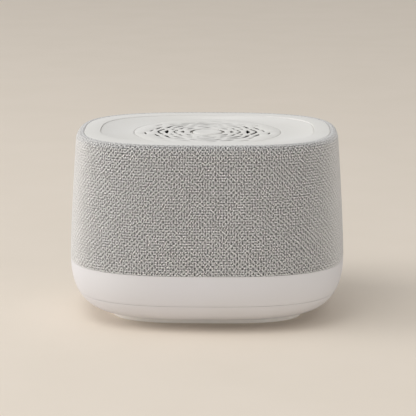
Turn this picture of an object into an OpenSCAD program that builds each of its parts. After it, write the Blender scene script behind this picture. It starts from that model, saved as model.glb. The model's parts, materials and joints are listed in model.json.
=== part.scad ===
// White noise sound machine. A squarish rounded body is wrapped in knitted cloth, stands on a
// moulded belly with a soft foot, and has a flush rotary grille in its top, whose centre is a
// push button. Millimetres, +Z up, front towards -Y, origin on the table under the middle.

/* [Body] */
// Width at the waist, the widest height
body_w = 150; // [146:1:170]
// Depth at the waist, front to back
body_d = 119; // [118:1:135]
// Height from the table to the top of the cap
body_h = 102; // [100:1:116]
// Squareness of the body seen from above, where 2 is an ellipse
plan_power = 2.9; // [2.7:0.1:3.6]
// Height of the waist above the table
waist_h = 34.5; // [34.5:0.5:40]
// How far the sides lean in between the waist and the top
lean = 4; // [2:0.5:6]
// How late the lean starts, where 1 is a straight side
lean_power = 1.3; // [1:0.1:2]
// How far the belly pulls in between the waist and the foot
belly = 26.5; // [24:0.5:28]
// Squareness of the belly seen from the side
belly_power = 2.45; // [2.3:0.05:3]

/* [Foot] */
// Height of the belly's underside above the table
foot_h = 4; // [3.6:0.2:6]
// Width of the foot
foot_w = 106; // [102:1:108]
// Depth of the foot, front to back
foot_d = 65; // [62:1:70]
// Squareness of the foot seen from above
foot_power = 3.2; // [2.8:0.1:3.8]
// Thickness of the soft pad under the foot
pad_t = 2.2; // [1.6:0.1:3]
// Width of one anti-slip groove in the pad
pad_groove_w = 1.6; // [1:0.1:2.4]
// Depth of one anti-slip groove in the pad
pad_groove_d = 0.7; // [0.4:0.1:1]
// Number of anti-slip grooves
pad_grooves = 3; // [0:1:4]

/* [Shells] */
// Wall of the moulded shells
wall = 2.2; // [1.8:0.1:2.6]
// Height of the line where the tray meets the shell
seam_h = 16; // [14:0.2:17]
// Width of that line
seam_gap = 0.2; // [0.2:0.1:0.6]
// Height of the tray's lip above the seam
lip_h = 2.6; // [1.5:0.1:4]
// Clearance between shells that slide into each other
fit_gap = 0.15; // [0.1:0.05:0.3]
// Thickness of the deck across the top of the shell
deck_t = 2.4; // [2:0.1:3]

/* [Fabric] */
// Thickness of the knitted sleeve
cloth_t = 1.2; // [0.8:0.1:1.5]
// Height of the sleeve's lower edge
cloth_h = 33.2; // [31:0.2:34.2]
// Radius of the sleeve's rolled top edge
roll_r = 3.5; // [3:0.1:4]
// Width of the dark groove between sleeve and cap
groove_w = 0.4; // [0.3:0.1:0.8]
// How deep the sleeve is tucked into that groove
tuck_d = 4; // [3:0.5:5]
// Number of slots round the frame under the sleeve, in one row
frame_slots = 28; // [16:4:32]
// Width of one such slot
frame_slot_w = 4; // [2:0.5:6]
// Rows of slots up the frame
frame_slot_rows = 3; // [1:1:4]

/* [Cap] */
// Width of the raised rim round the top panel
rim_w = 8.6; // [6:0.1:9]
// Depth of the panel below the rim
panel_drop = 2; // [1:0.1:2.4]
// Thickness of the cap's panel
cap_t = 2.4; // [2:0.1:3]
// Rounding of the cap's outer edge
cap_edge_r = 0.8; // [0.4:0.1:1.2]
// Height of the cap's skirt below its top
skirt_h = 7.6; // [7.4:0.1:9]

/* [Dial] */
// Radius of the rotary grille
dial_r = 40; // [38:0.5:40.5]
// Thickness of its plate
dial_t = 2; // [1.6:0.1:2.4]
// Open ring between the dial and the cap
dial_gap = 0.35; // [0.3:0.05:0.5]
// Width of the ledge that carries the dial
ledge_w = 3.9; // [3.5:0.1:4.5]
// Thickness of that ledge
ledge_t = 2; // [1.6:0.1:2.6]
// Thickness of the slippery ring between ledge and dial
glide_t = 0.5; // [0.4:0.1:0.8]
// Thickness of the white face over the dial's black carrier
face_t = 0.5; // [0.4:0.1:0.8]
// Width of the rim by which the face clasps the carrier
face_rim_w = 1.4; // [1.2:0.1:2]
// Number of snap hooks that hold the dial down
hooks = 6; // [3:1:8]
// Petals of the rosette
petals = 8; // [6:1:10]
// Width of the rosette's widest strokes
stroke_w = 2.5; // [1.6:0.1:3]
// Number of notches in the code ring under the dial
code_notches = 48; // [24:4:60]

/* [Button] */
// Outer radius of the fixed post round the button
post_r = 9.2; // [8.8:0.1:9.6]
// Wall of that post
post_wall = 1; // [0.9:0.1:1.4]
// Running clearance between the post and the dial's hub
hub_play = 0.08; // [0.04:0.01:0.1]
// How far the post's top lies below the panel
post_sink = 0.6; // [0.2:0.1:1.2]
// Gap between the button and the post
button_gap = 0.3; // [0.3:0.05:0.5]
// Travel of the button
button_travel = 1; // [0.6:0.1:1.2]
// How far the button stands above the panel
button_proud = 0.5; // [0.2:0.1:0.8]
// Radius of the finger dish in the button
dish_r = 5.4; // [4:0.1:6]
// Depth of that dish
dish_d = 0.8; // [0.4:0.1:1.2]
// Radius of the button's stem
stem_r = 3; // [2.5:0.1:3.4]

/* [Speaker] */
// Outer radius of the loudspeaker's flange
driver_r = 37; // [35:0.5:38]
// Height of the baffle's top below the top of the body
baffle_drop = 23; // [22:0.5:25]
// Thickness of the baffle
baffle_t = 3; // [2.4:0.2:3.6]
// Inset of the speaker box from the waist's outline
box_inset = 17; // [16.5:0.5:18]
// Radius of the magnet
magnet_r = 24; // [18:0.5:24.5]
// Thickness of the magnet
magnet_t = 10; // [6:1:12]
// Windows in the basket
basket_windows = 6; // [4:1:8]

/* [Electronics] */
// Width of the main board
board_w = 52; // [48:1:56]
// Front edge of the main board, from the middle
board_front = 20; // [16:1:24]
// Thickness of both circuit boards
board_t = 1.6; // [1:0.2:2]
// Height of the main board's top side
board_h = 21; // [20:0.5:22]

/* [Screws] */
// Radius of a case screw's thread
screw_r = 1.5; // [1.25:0.05:1.6]
// Radius of a small screw's thread
small_screw_r = 1.1; // [1:0.05:1.25]
// Depth of a screw's thread in its boss
bite = 7; // [5:0.5:8]

/* [Hidden] */
$fn = 96;

white = [0.90, 0.89, 0.87];
soft_grey = [0.66, 0.64, 0.62];
knit_grey = [0.70, 0.69, 0.67];
dark = [0.12, 0.12, 0.13];
steel = [0.72, 0.73, 0.75];
board_green = [0.10, 0.32, 0.20];

plan_steps = 72;      // points round the plan outline
sliver = 0.01;        // cutters pass this far through a face
curve_steps = 6;      // points along one curved stretch of a profile
thread_gap = 0.05;    // clearance of a screw's thread in its boss
head_r = 1.9;         // screw head as a share of its thread radius
head_h = 1.2;         // height of a screw head as a share of its thread radius
play = 0.3;           // free gap round a screw or a lead in its hole

// Heights of the upper stack, counted down from the top of the cap
panel_z = body_h - panel_drop;
dial_z = panel_z - dial_t;
ledge_z = dial_z - glide_t;
bridge_z = ledge_z - ledge_t;
bridge_t = 3;
frame_ledge_z = body_h - skirt_h;
frame_ledge_t = 2.4;
baffle_z = body_h - baffle_drop;

// Radii of the upper stack
well_r = dial_r + dial_gap;
opening_r = dial_r - ledge_w;
hook_r = opening_r - 0.4;
hook_t = 1;
code_r = hook_r - 3.2;
code_w = 1.2;
code_t = 1.4;
cloth_ring_t = 0.4;
bridge_in_r = opening_r + 1.9;
bridge_out_r = well_r + 4.1;
bridge_clear = 0.5;
bridge_tab_r = bridge_out_r + 2;
tab_r = 4;

// Post, hub and button
hub_r = post_r + 3.3;
hub_cavity_r = post_r - 2.2;
arm_t = 4;
arm_w = 5;
arms = 4;
arm_top_z = bridge_z - 2;
arm_bottom_z = arm_top_z - arm_t;
post_top_z = panel_z - post_sink;
post_floor_t = 1.6;
post_floor_z = arm_top_z + 1.7;
collar_r = stem_r + 0.6;
collar_t = 0.8;
collar_gap = 0.2;
stem_play = 0.1;
stem_end_z = post_floor_z - post_floor_t - collar_gap - collar_t;
button_r = post_r - post_wall - button_gap;
button_top_z = panel_z + button_proud;
button_under_z = button_top_z - 2.6;
switch_top_z = stem_end_z - button_travel - 0.2;
switch_h = 4.3;
control_z = switch_top_z - switch_h;
control_r = 16;
control_screw_r = 13.4;
control_boss_r = 2;
control_screw_bite = 4.5;

// Shell heights and the frame's edge
deck_z = cloth_h - 0.2;
box_floor_z = deck_z;
box_wall = wall;
roll_z = body_h - roll_r;
edge_in = roll_r - 0.7;
lip_in = edge_in + cloth_t;
frame_skin = cloth_t + fit_gap;
cap_in = body_inset(roll_z) + lip_in + groove_w;
skirt_t = wall;
panel_draft = 0.1;
lip_t = 1.2;
pillar_r = 4.2;
board_boss_r = 3;
grommet_r = 4;
grommet_hole_r = 3;
pillar_top_z = seam_h + lip_h;
case_edge = 8;
case_grip = 8;
case_head_z = pillar_top_z - case_grip;
frame_boss_r = 3.4;
frame_screw_in = 9.5;
cap_screw_in = 11.4;
box_screw_in = box_inset + 6;
box_boss_r = 3.6;
board_back = body_d / 2 - wall - 4.3;
board_hole_in = 4;
ribbon_w = 10;
ribbon_t = 0.3;
ribbon_bend_r = 3;
ribbon_y = body_d / 2 - box_inset + 2;
ribbon_low_z = board_h + 1.6;
ribbon_high_z = control_z - board_t - 1.2;
plug_l = 5;
board_plug_t = 2.6;
control_plug_t = 2.4;
board_plug_y = ribbon_y - 11.5;
control_plug_y = 13;
lead_angle = 125;
lead_r = 0.7;
lead_spacing = 2.6;
lead_ring_r = magnet_r + 2 * lead_r;
lead_terminal_h = 3.4;
socket_w = 8.94;      // the metal shell of a small reversible socket has this standard width
socket_h = 3.26;      // and this standard height
socket_t = 0.3;
socket_l = 7.4;
tongue_t = 0.7;
recess = 2.2;
socket_z = board_h + socket_h / 2;

// Loudspeaker, counted from the baffle's top
gasket_t = 0.6;
flange_z = baffle_z + gasket_t;
flange_t = 1.8;
flange_w = 6;
basket_r = driver_r - flange_w;
basket_t = 1.4;
basket_rim_h = 4;
basket_h = 17;
basket_back_r = magnet_r + 2.5;
basket_back_z = baffle_z - basket_h;
window_w = 14;
magnet_z = basket_back_z - magnet_t;
pole_plate_t = 2;
yoke_t = 3.5;
coil_r = 7.6;
coil_t = 0.5;
coil_dip = 5;
coil_slot_w = 1.2;
surround_w = 5;
surround_foot_w = 1.4;
surround_t = 0.5;
cone_r = basket_r - surround_w;
cone_rim_z = flange_z + flange_t - 0.6;
cone_neck_h = 8;
cone_neck_z = basket_back_z + cone_neck_h;
driver_screw_in = 2.6;
driver_screw_r = driver_r - driver_screw_in;
damper_h = 3.4;
damper_wave_h = 1.4;
damper_t = 0.5;
dust_r = coil_r + 2.4;
dust_rise = 3;
dust_t = 0.5;

// One coordinate of the plan curve
function signed_pow(v, p) = sign(v) * pow(abs(v), p);

function polar(r, a) = [r * cos(a), r * sin(a)];

// Point of the plan curve at angle t, drawn in from the outline of the waist or of the foot
function plan_point(inset, t, foot = false) =
    let (power = foot ? foot_power : plan_power)
    [((foot ? foot_w : body_w) / 2 - inset) * signed_pow(cos(t), 2 / power),
        ((foot ? foot_d : body_d) / 2 - inset) * signed_pow(sin(t), 2 / power)];

function plan_curve(inset, foot = false) =
    [for (s = [0 : plan_steps - 1]) plan_point(inset, 360 * s / plan_steps, foot)];

// How far the outside lies within the waist's outline, above the waist
function body_inset(z) = lean * pow(max(z - waist_h, 0) / (body_h - waist_h), lean_power);

// Point of the belly's side profile as [inset, height]; skin moves it inwards
function belly_point(a, skin) = [
    skin + (belly - skin) * (1 - pow(cos(a), 2 / belly_power)),
    waist_h - (waist_h - foot_h - skin) * pow(sin(a), 2 / belly_power)];

function belly_angle(z, skin) =
    asin(pow((waist_h - z) / (waist_h - foot_h - skin), belly_power / 2));

// Belly profile from height z0 up to z1
function belly_band(z0, z1, skin, steps) =
    let (a0 = belly_angle(z0, skin), a1 = belly_angle(z1, skin))
    [for (i = [0 : steps]) belly_point(a0 + (a1 - a0) * i / steps, skin)];

// Side profile of the sleeve and its frame from height z0 up to z1
function side_band(z0, z1, skin, steps) =
    [for (i = [0 : steps])
        let (z = z0 + (z1 - z0) * i / steps)
        [body_inset(z) + skin, z]];

// Rolled top edge, from its side towards the top
function roll_band(skin, a1, steps) =
    let (inset = body_inset(roll_z), r = roll_r - skin)
    [for (i = [1 : steps])
        let (a = a1 * i / steps)
        [inset + roll_r - r * cos(a), roll_z + r * sin(a)]];

// Angle at which the rolled edge, skin below its surface, reaches the given inset
function roll_end(skin, inset) = acos((roll_r - inset) / (roll_r - skin));

function reversed(list) = [for (i = [len(list) - 1 : -1 : 0]) list[i]];

function quad(low, high, s, next) = [
    [low + s, high + s, high + next],
    [low + s, high + next, low + next]];

// Closed band round the plan: the profile is a loop of [inset, height], outer side first
module plan_loop(profile) {
    count = len(profile);
    points = [for (p = profile) for (q = plan_curve(p[0])) [q[0], q[1], p[1]]];
    faces = [for (r = [0 : count - 1]) for (s = [0 : plan_steps - 1])
        each quad(r * plan_steps, ((r + 1) % count) * plan_steps, s, (s + 1) % plan_steps)];
    polyhedron(points = points, faces = faces);
}

// Solid stack of plan outlines from bottom to top
module plan_stack(profile, foot = false) {
    count = len(profile);
    points = [for (p = profile) for (q = plan_curve(p[0], foot)) [q[0], q[1], p[1]]];
    sides = [for (r = [0 : count - 2]) for (s = [0 : plan_steps - 1])
        each quad(r * plan_steps, (r + 1) * plan_steps, s, (s + 1) % plan_steps)];
    bottom = [for (s = [0 : plan_steps - 1]) s];
    top = [for (s = [plan_steps - 1 : -1 : 0]) (count - 1) * plan_steps + s];
    polyhedron(points = points, faces = concat(sides, [bottom, top]));
}

// Upright slab with the plan outline
module plan_slab(inset, z0, z1, foot = false) {
    translate([0, 0, z0]) linear_extrude(z1 - z0) polygon(plan_curve(inset, foot));
}

// Upright ring with the plan outline
module plan_ring(inset, inner, z0, z1, foot = false) {
    translate([0, 0, z0]) linear_extrude(z1 - z0) difference() {
        polygon(plan_curve(inset, foot));
        polygon(plan_curve(inner, foot));
    }
}

module tube(r, inner, z0, z1) {
    translate([0, 0, z0]) linear_extrude(z1 - z0) difference() {
        circle(r);
        circle(inner);
    }
}

module rod(r, z0, z1) {
    translate([0, 0, z0]) cylinder(r = r, h = z1 - z0);
}

// Puts its children at the four corners of the plan, at the given inset
module corners(inset, foot = false) {
    for (t = [45 : 90 : 315]) {
        translate(concat(plan_point(inset, t, foot), [0])) children();
    }
}

module around(count, radius, start = 0) {
    for (i = [0 : count - 1]) rotate([0, 0, start + 360 * i / count]) translate([radius, 0, 0])
        children();
}

module board_corners() {
    for (x = [-1, 1]) {
        for (y = [board_hole_in - board_front, board_back - board_hole_in]) {
            translate([x * (board_w / 2 - board_hole_in), y, 0]) children();
        }
    }
}

// Pan head screw, head down: its shank starts at z = 0 and points up
module screw(r, length) {
    difference() {
        rotate_extrude() polygon([
            [0, -head_h * r], [1.4 * r, -head_h * r], [head_r * r, -0.6 * head_h * r],
            [head_r * r, 0], [r, 0], [r, length - r], [0, length]]);
        for (a = [0, 90]) rotate([0, 0, a]) translate([-r, -0.2 * r, -head_h * r - sliver])
            cube([2 * r, 0.4 * r, 0.6 * head_h * r]);
    }
}

// Puts its children where the loudspeaker's leads pass, just beside the magnet
module at_leads() {
    rotate([0, 0, lead_angle]) translate([lead_ring_r, 0, 0]) children();
}

module each_lead() {
    at_leads() for (side = [-0.5, 0.5]) translate([0, side * lead_spacing, 0]) children();
}

// Upright boss with a pilot hole that opens downwards
module boss(r, z0, z1, thread) {
    difference() {
        rod(r, z0, z1);
        rod(thread + thread_gap, z0 - sliver, min(z0 + bite + 1, z1 - 0.8));
    }
}

module stadium(w, h) {
    square([w - h, h], center = true);
    for (x = [-1, 1]) translate([x * (w - h) / 2, 0]) circle(h / 2);
}

// ---- foot and belly ----

module foot_pad() {
    edge = 0.1;
    color(soft_grey) difference() {
        plan_stack([[edge + 0.9, 0], [edge + 0.25, 0.35], [edge, 1], [edge, pad_t]], true);
        for (i = [0 : 1 : pad_grooves - 1]) {
            outer = 4 + 3 * i * pad_groove_w;
            plan_ring(outer, outer + pad_groove_w, -sliver, pad_groove_d, true);
        }
    }
}

module base_tray() {
    top = seam_h - seam_gap / 2;
    color(white) {
        difference() {
            union() {
                plan_stack(belly_band(foot_h, top, 0, curve_steps));
                plan_slab(0, pad_t, foot_h + wall, true);
            }
            plan_stack(concat(belly_band(foot_h + wall, top - 1, wall, curve_steps),
                [[belly_band(top - 1, top, wall, 1)[0][0], top + 1]]));
            plan_slab(wall, pad_t + wall, foot_h + wall + 1, true);
            corners(case_edge, true) rod(pillar_r - 0.5, 0, foot_h + wall);
        }
        plan_ring(lip_inset(), lip_inset() + lip_t, top - 3, seam_h + lip_h);
        corners(case_edge, true) difference() {
            rod(pillar_r, pad_t, pillar_top_z);
            rod(head_r * screw_r + play, pad_t - sliver, case_head_z);
            rod(screw_r + play, pad_t, pillar_top_z + sliver);
        }
    }
}

// Inset of the tray's lip, just inside the wall of the shell above it
function lip_inset() = belly_band(seam_h, seam_h + 1, wall, 1)[0][0] + fit_gap;

module case_screws() {
    color(steel) corners(case_edge, true) translate([0, 0, case_head_z])
        screw(screw_r, pillar_top_z - case_head_z + bite);
}

module base_shell() {
    low = seam_h + seam_gap / 2;
    color(white) difference() {
        union() {
            plan_loop(concat(belly_band(low, deck_z, 0, curve_steps),
                reversed(belly_band(low, deck_z, wall, 4))));
            plan_slab(belly_band(deck_z - deck_t, deck_z, wall, 1)[0][0] - 0.6,
                deck_z - deck_t, deck_z);
            corners(case_edge, true)
                boss(pillar_r, pillar_top_z, deck_z - 1, screw_r);
            board_corners() boss(board_boss_r, board_h, deck_z - 1, small_screw_r);
        }
        corners(frame_screw_in) rod(screw_r + play, deck_z - deck_t - 1, deck_z + 1);
        translate([-ribbon_w / 2 - 1, ribbon_y - 1.2, deck_z - deck_t - 1])
            cube([ribbon_w + 2, 2.4, deck_t + 2]);
        at_leads() rod(grommet_r, deck_z - deck_t - 1, deck_z + 1);
        translate([0, body_d / 2, socket_z]) rotate([90, 0, 0]) {
            translate([0, 0, -1]) linear_extrude(1 + socket_face_in() - 0.4)
                stadium(socket_w + 2 * recess, socket_h + 2 * recess);
            linear_extrude(wall + 4) stadium(socket_w + play, socket_h + play);
        }
    }
}

// How far the belly lies inside the waist's outline at the power socket
function socket_face_in() = belly_band(socket_z, waist_h - 1, 0, 1)[0][0] + 1.4;

// ---- electronics in the belly ----

module main_board() {
    color(board_green) difference() {
        translate([-board_w / 2, -board_front, board_h - board_t])
            cube([board_w, board_front + board_back, board_t]);
        board_corners() rod(small_screw_r + play, board_h - board_t - 1, board_h + 1);
    }
}

module board_parts() {
    processor = [9, 9, 1.4];
    memory = [7, 7, 1.2];
    choke = [6, 6, 3];
    amplifier = [12, 5, 1.1];
    terminal = [4.4, 8, lead_terminal_h];
    plug = [ribbon_w + 2, plug_l, board_plug_t];
    capacitor_r = 4;
    capacitor_h = 6.6;
    row = 12;       // distance of the front row of chips from the middle
    column = 16;    // distance of the outer columns from the middle
    color(dark) translate([0, 0, board_h]) {
        translate([-column, 4, 0]) cube(processor);
        translate([column - memory[0], -row, 0]) cube(memory);
        translate([4, 2, 0]) cube(choke);
        translate([2 - column, -row, 0]) cube(amplifier);
        for (x = [column - 10, column]) translate([x, column, 0])
            cylinder(r = capacitor_r, h = capacitor_h);
        translate([-plug[0] / 2, board_plug_y - plug_l, 0]) cube(plug);
        at_leads() translate([-terminal[0] / 2, -terminal[1] / 2, 0]) cube(terminal);
    }
}

module board_screws() {
    color(steel) board_corners() translate([0, 0, board_h - board_t])
        screw(small_screw_r, board_t + bite - 1);
}

module power_socket() {
    front = body_d / 2 - socket_face_in() + 0.6;
    color(steel) translate([0, front, socket_z]) rotate([90, 0, 0]) {
        difference() {
            linear_extrude(socket_l) stadium(socket_w, socket_h);
            translate([0, 0, -sliver]) linear_extrude(socket_l - 0.8)
                stadium(socket_w - 2 * socket_t, socket_h - 2 * socket_t);
        }
        translate([1.2 - socket_w / 2, -tongue_t / 2, 0.7])
            cube([socket_w - 2.4, tongue_t, socket_l - 1]);
    }
}

// ---- speaker box and loudspeaker ----

module speaker_box() {
    top = baffle_z - baffle_t;
    color(dark) difference() {
        union() {
            difference() {
                plan_slab(box_inset, box_floor_z, top);
                plan_slab(box_inset + box_wall, box_floor_z + box_wall, top + 1);
            }
            corners(box_screw_in) rod(box_boss_r, box_floor_z + 1, top);
        }
        corners(box_screw_in) rod(screw_r + thread_gap, top - bite - 1, top + 1);
        at_leads() rod(grommet_hole_r, box_floor_z - 1, box_floor_z + box_wall + 1);
    }
}

module lead_grommet() {
    flange_h = 1.2;
    color(dark) difference() {
        at_leads() union() {
            rod(grommet_hole_r - fit_gap, box_floor_z - deck_t, box_floor_z + box_wall);
            rod(grommet_r + 0.4, box_floor_z + box_wall, box_floor_z + box_wall + flange_h);
        }
        each_lead()
            rod(lead_r + 0.05, box_floor_z - deck_t - 1, box_floor_z + box_wall + flange_h + 1);
    }
}

module speaker_leads() {
    color(dark) each_lead() rod(lead_r, board_h + lead_terminal_h, basket_back_z - basket_t);
}

module speaker_magnet() {
    color(dark)
        tube(magnet_r, coil_r + 2, magnet_z, basket_back_z - basket_t - pole_plate_t);
}

module speaker_yoke() {
    color(steel) {
        rod(magnet_r, magnet_z - yoke_t, magnet_z);
        rod(coil_r - 1, magnet_z, basket_back_z - basket_t + 1);
        tube(magnet_r - 1.5, coil_r + coil_slot_w, basket_back_z - basket_t - pole_plate_t,
            basket_back_z - basket_t);
    }
}

module speaker_basket() {
    seat_r = basket_r - surround_foot_w - 0.8;
    color(dark) difference() {
        rotate_extrude() polygon([
            [coil_r + 2, basket_back_z - basket_t], [basket_back_r, basket_back_z - basket_t],
            [basket_r, flange_z - basket_rim_h], [basket_r, flange_z], [driver_r, flange_z],
            [driver_r, flange_z + flange_t], [seat_r + 1.4, flange_z + flange_t],
            [seat_r + 1.4, cone_rim_z], [seat_r, cone_rim_z], [seat_r, cone_rim_z - 1],
            [basket_back_r - basket_t, basket_back_z], [coil_r + 2, basket_back_z]]);
        around(4, driver_screw_r, 45) rod(small_screw_r + play, flange_z - 2, flange_z + 4);
        around(basket_windows, basket_back_r, 180 / basket_windows)
            translate([-window_w / 2, -window_w / 2, basket_back_z + 2])
                cube([window_w + 2, window_w, basket_h - basket_rim_h - 3]);
    }
}

module voice_coil() {
    color([0.72, 0.42, 0.25]) tube(coil_r + coil_t, coil_r, magnet_z + coil_dip, cone_neck_z + 1);
}

module speaker_damper() {
    waves = 4;
    inner = coil_r + coil_t;
    outer = basket_back_r - basket_t - 1.2;
    level = basket_back_z + damper_h;
    pitch = (outer - inner) / (2 * waves);
    crest = [for (i = [0 : 2 * waves]) [inner + i * pitch, level + (i % 2) * damper_wave_h]];
    color([0.55, 0.40, 0.22]) {
        rotate_extrude()
            polygon(concat([for (p = crest) p + [0, damper_t]], reversed(crest)));
        tube(outer, outer - 0.8, basket_back_z, level + 0.2);
    }
}

// Bend of the cone's curved flank, and the height of its top side near the neck
cone_mid = [cone_r * 0.6, cone_neck_z + (cone_rim_z - cone_neck_z) * 0.52];
function cone_top(r) = cone_neck_z + 1 + (r - coil_r - coil_t)
    * (cone_mid[1] - cone_neck_z - 0.4) / (cone_mid[0] - coil_r - coil_t - 0.4);

module speaker_cone() {
    color(dark) rotate_extrude() polygon([
        [coil_r + coil_t, cone_neck_z - 1], [coil_r + coil_t + 0.7, cone_neck_z], cone_mid,
        [cone_r, cone_rim_z - 0.7], [cone_r, cone_rim_z], cone_mid + [-0.4, 0.6],
        [coil_r + coil_t, cone_neck_z + 1]]);
}

module speaker_surround() {
    foot_r = basket_r - 0.8;
    mid = (cone_r + foot_r - surround_foot_w / 2) / 2;
    half = (foot_r - surround_foot_w / 2 - cone_r) / 2;
    arch = [for (a = [0 : 15 : 180]) [mid + half * cos(a), cone_rim_z + half * sin(a)]];
    under = [for (a = [180 : -15 : 0])
        [mid + (half - surround_t) * cos(a), cone_rim_z + (half - surround_t) * sin(a)]];
    color(dark) {
        rotate_extrude() polygon(concat(arch, under));
        tube(foot_r - 0.1, foot_r - surround_foot_w, cone_rim_z, cone_rim_z + 0.6);
    }
}

module dust_cap() {
    dome = [for (i = [0 : 6]) [dust_r * cos(15 * i), dust_rise * sin(15 * i)]];
    inside = [for (i = [6 : -1 : 0])
        [(dust_r - dust_t) * cos(15 * i), (dust_rise - dust_t) * sin(15 * i)]];
    color(dark) translate([0, 0, cone_top(dust_r) + 0.05]) rotate_extrude()
        polygon(concat(dome, inside));
}

module speaker_gasket() {
    color(dark) difference() {
        tube(driver_r - 0.4, basket_r + 1, baffle_z, flange_z);
        around(4, driver_screw_r, 45) rod(small_screw_r + play, baffle_z - 1, flange_z + 1);
    }
}

module speaker_baffle() {
    color(dark) difference() {
        plan_slab(box_inset, baffle_z - baffle_t, baffle_z);
        rod(basket_r + 0.6, baffle_z - baffle_t - 1, baffle_z + 1);
        corners(box_screw_in) rod(screw_r + play, baffle_z - baffle_t - 1, baffle_z + 1);
        around(4, driver_screw_r, 45) rod(small_screw_r + thread_gap, baffle_z - baffle_t - 1,
            baffle_z + 1);
    }
}

module baffle_screws() {
    color(steel) corners(box_screw_in) translate([0, 0, baffle_z]) mirror([0, 0, 1])
        screw(screw_r, baffle_t + bite);
}

module speaker_screws() {
    color(steel) around(4, driver_screw_r, 45) translate([0, 0, flange_z + flange_t])
        mirror([0, 0, 1]) screw(small_screw_r, flange_t + gasket_t + baffle_t);
}

// ---- frame and fabric ----

module frame_slot_row(z0, z1) {
    for (i = [0 : frame_slots - 1]) {
        t = 360 * (i + 0.5) / frame_slots;
        foot = plan_point(0, t);
        translate([foot[0], foot[1], z0])
            rotate([0, 0, atan2(foot[1] / body_d, foot[0] / body_w)])
            translate([-14, -frame_slot_w / 2, 0]) cube([20, frame_slot_w, z1 - z0]);
    }
}

module sleeve_frame() {
    inner_skin = frame_skin + wall;
    edge = body_inset(roll_z) + edge_in - fit_gap;
    tuck_z = body_h - tuck_d;
    shoulder_z = tuck_z - 3.5;
    low = deck_z + 8;
    high = frame_ledge_z - frame_ledge_t - 4;
    row_h = (high - low) / frame_slot_rows;
    color(dark) difference() {
        union() {
            plan_loop(concat(
                side_band(deck_z, roll_z, frame_skin, curve_steps),
                roll_band(frame_skin, roll_end(frame_skin, edge_in - fit_gap), 2),
                [[edge, tuck_z - 1.5]],
                reversed(side_band(deck_z, shoulder_z, inner_skin, curve_steps))));
            plan_ring(body_inset(deck_z) + inner_skin - 0.8, frame_screw_in + 3, deck_z,
                deck_z + 2.4);
            plan_ring(body_inset(frame_ledge_z) + inner_skin - 0.8, cap_screw_in + 2.1,
                frame_ledge_z - frame_ledge_t, frame_ledge_z);
            corners(frame_screw_in) boss(frame_boss_r, deck_z, deck_z + bite + 2, screw_r);
            corners(cap_screw_in)
                rod(frame_boss_r + 0.8, frame_ledge_z - frame_ledge_t, frame_ledge_z);
        }
        corners(frame_screw_in) rod(screw_r + thread_gap, deck_z - 1, deck_z + bite + 1);
        corners(cap_screw_in)
            rod(screw_r + play, frame_ledge_z - frame_ledge_t - 1, frame_ledge_z + 1);
        rod(bridge_out_r + bridge_clear, frame_ledge_z - frame_ledge_t - 1, frame_ledge_z + 1);
        around(arms, bridge_tab_r, 45)
            rod(tab_r + bridge_clear, frame_ledge_z - frame_ledge_t - 1, frame_ledge_z + 1);
        for (row = [0 : frame_slot_rows - 1]) {
            frame_slot_row(low + row * row_h, low + (row + 1) * row_h - 3.5);
        }
    }
}

module frame_screws() {
    color(steel) corners(frame_screw_in) translate([0, 0, deck_z - deck_t])
        screw(screw_r, deck_t + bite - 1);
}

module fabric_sleeve() {
    base = body_inset(roll_z);
    tuck_z = body_h - tuck_d;
    color(knit_grey) plan_loop(concat(
        side_band(cloth_h, roll_z, 0, curve_steps),
        roll_band(0, 90, 4),
        [[base + lip_in - 0.15, body_h - 0.15], [base + lip_in, body_h - 0.5],
            [base + lip_in, tuck_z], [base + edge_in, tuck_z]],
        reversed(roll_band(cloth_t, roll_end(cloth_t, edge_in), 3)),
        reversed(side_band(cloth_h, roll_z, cloth_t, curve_steps))));
}

// ---- cap ----

module top_cap() {
    panel_in = cap_in + rim_w;
    under_z = panel_z - cap_t;
    rim_under_z = body_h - cap_t;
    color(white) difference() {
        union() {
            difference() {
                plan_stack([[cap_in, frame_ledge_z], [cap_in, body_h - cap_edge_r],
                    [cap_in + 0.3 * cap_edge_r, body_h - 0.3 * cap_edge_r],
                    [cap_in + cap_edge_r, body_h]]);
                plan_stack([[panel_in + panel_draft, panel_z], [panel_in, body_h + sliver]]);
                plan_slab(cap_in + skirt_t, frame_ledge_z - 1, under_z);
                plan_ring(cap_in + skirt_t, panel_in - wall, under_z - 1, rim_under_z);
            }
            rod(well_r + cap_t, bridge_z, under_z + 1);
            around(arms, bridge_tab_r, 45) rod(tab_r, bridge_z, under_z + 1);
            corners(cap_screw_in) rod(frame_boss_r, frame_ledge_z, under_z + 1);
        }
        rod(well_r, ledge_z, panel_z + 1);
        rod(opening_r, bridge_z - 1, panel_z + 1);
        around(arms, bridge_tab_r, 45) rod(small_screw_r + thread_gap, bridge_z - 1, under_z + 0.8);
        corners(cap_screw_in) rod(screw_r + thread_gap, frame_ledge_z - 1, under_z + 1);
    }
}

module cap_screws() {
    color(steel) corners(cap_screw_in) translate([0, 0, frame_ledge_z - frame_ledge_t])
        screw(screw_r, frame_ledge_t + panel_z - cap_t - frame_ledge_z);
}

// ---- bridge, dial and button ----

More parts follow.
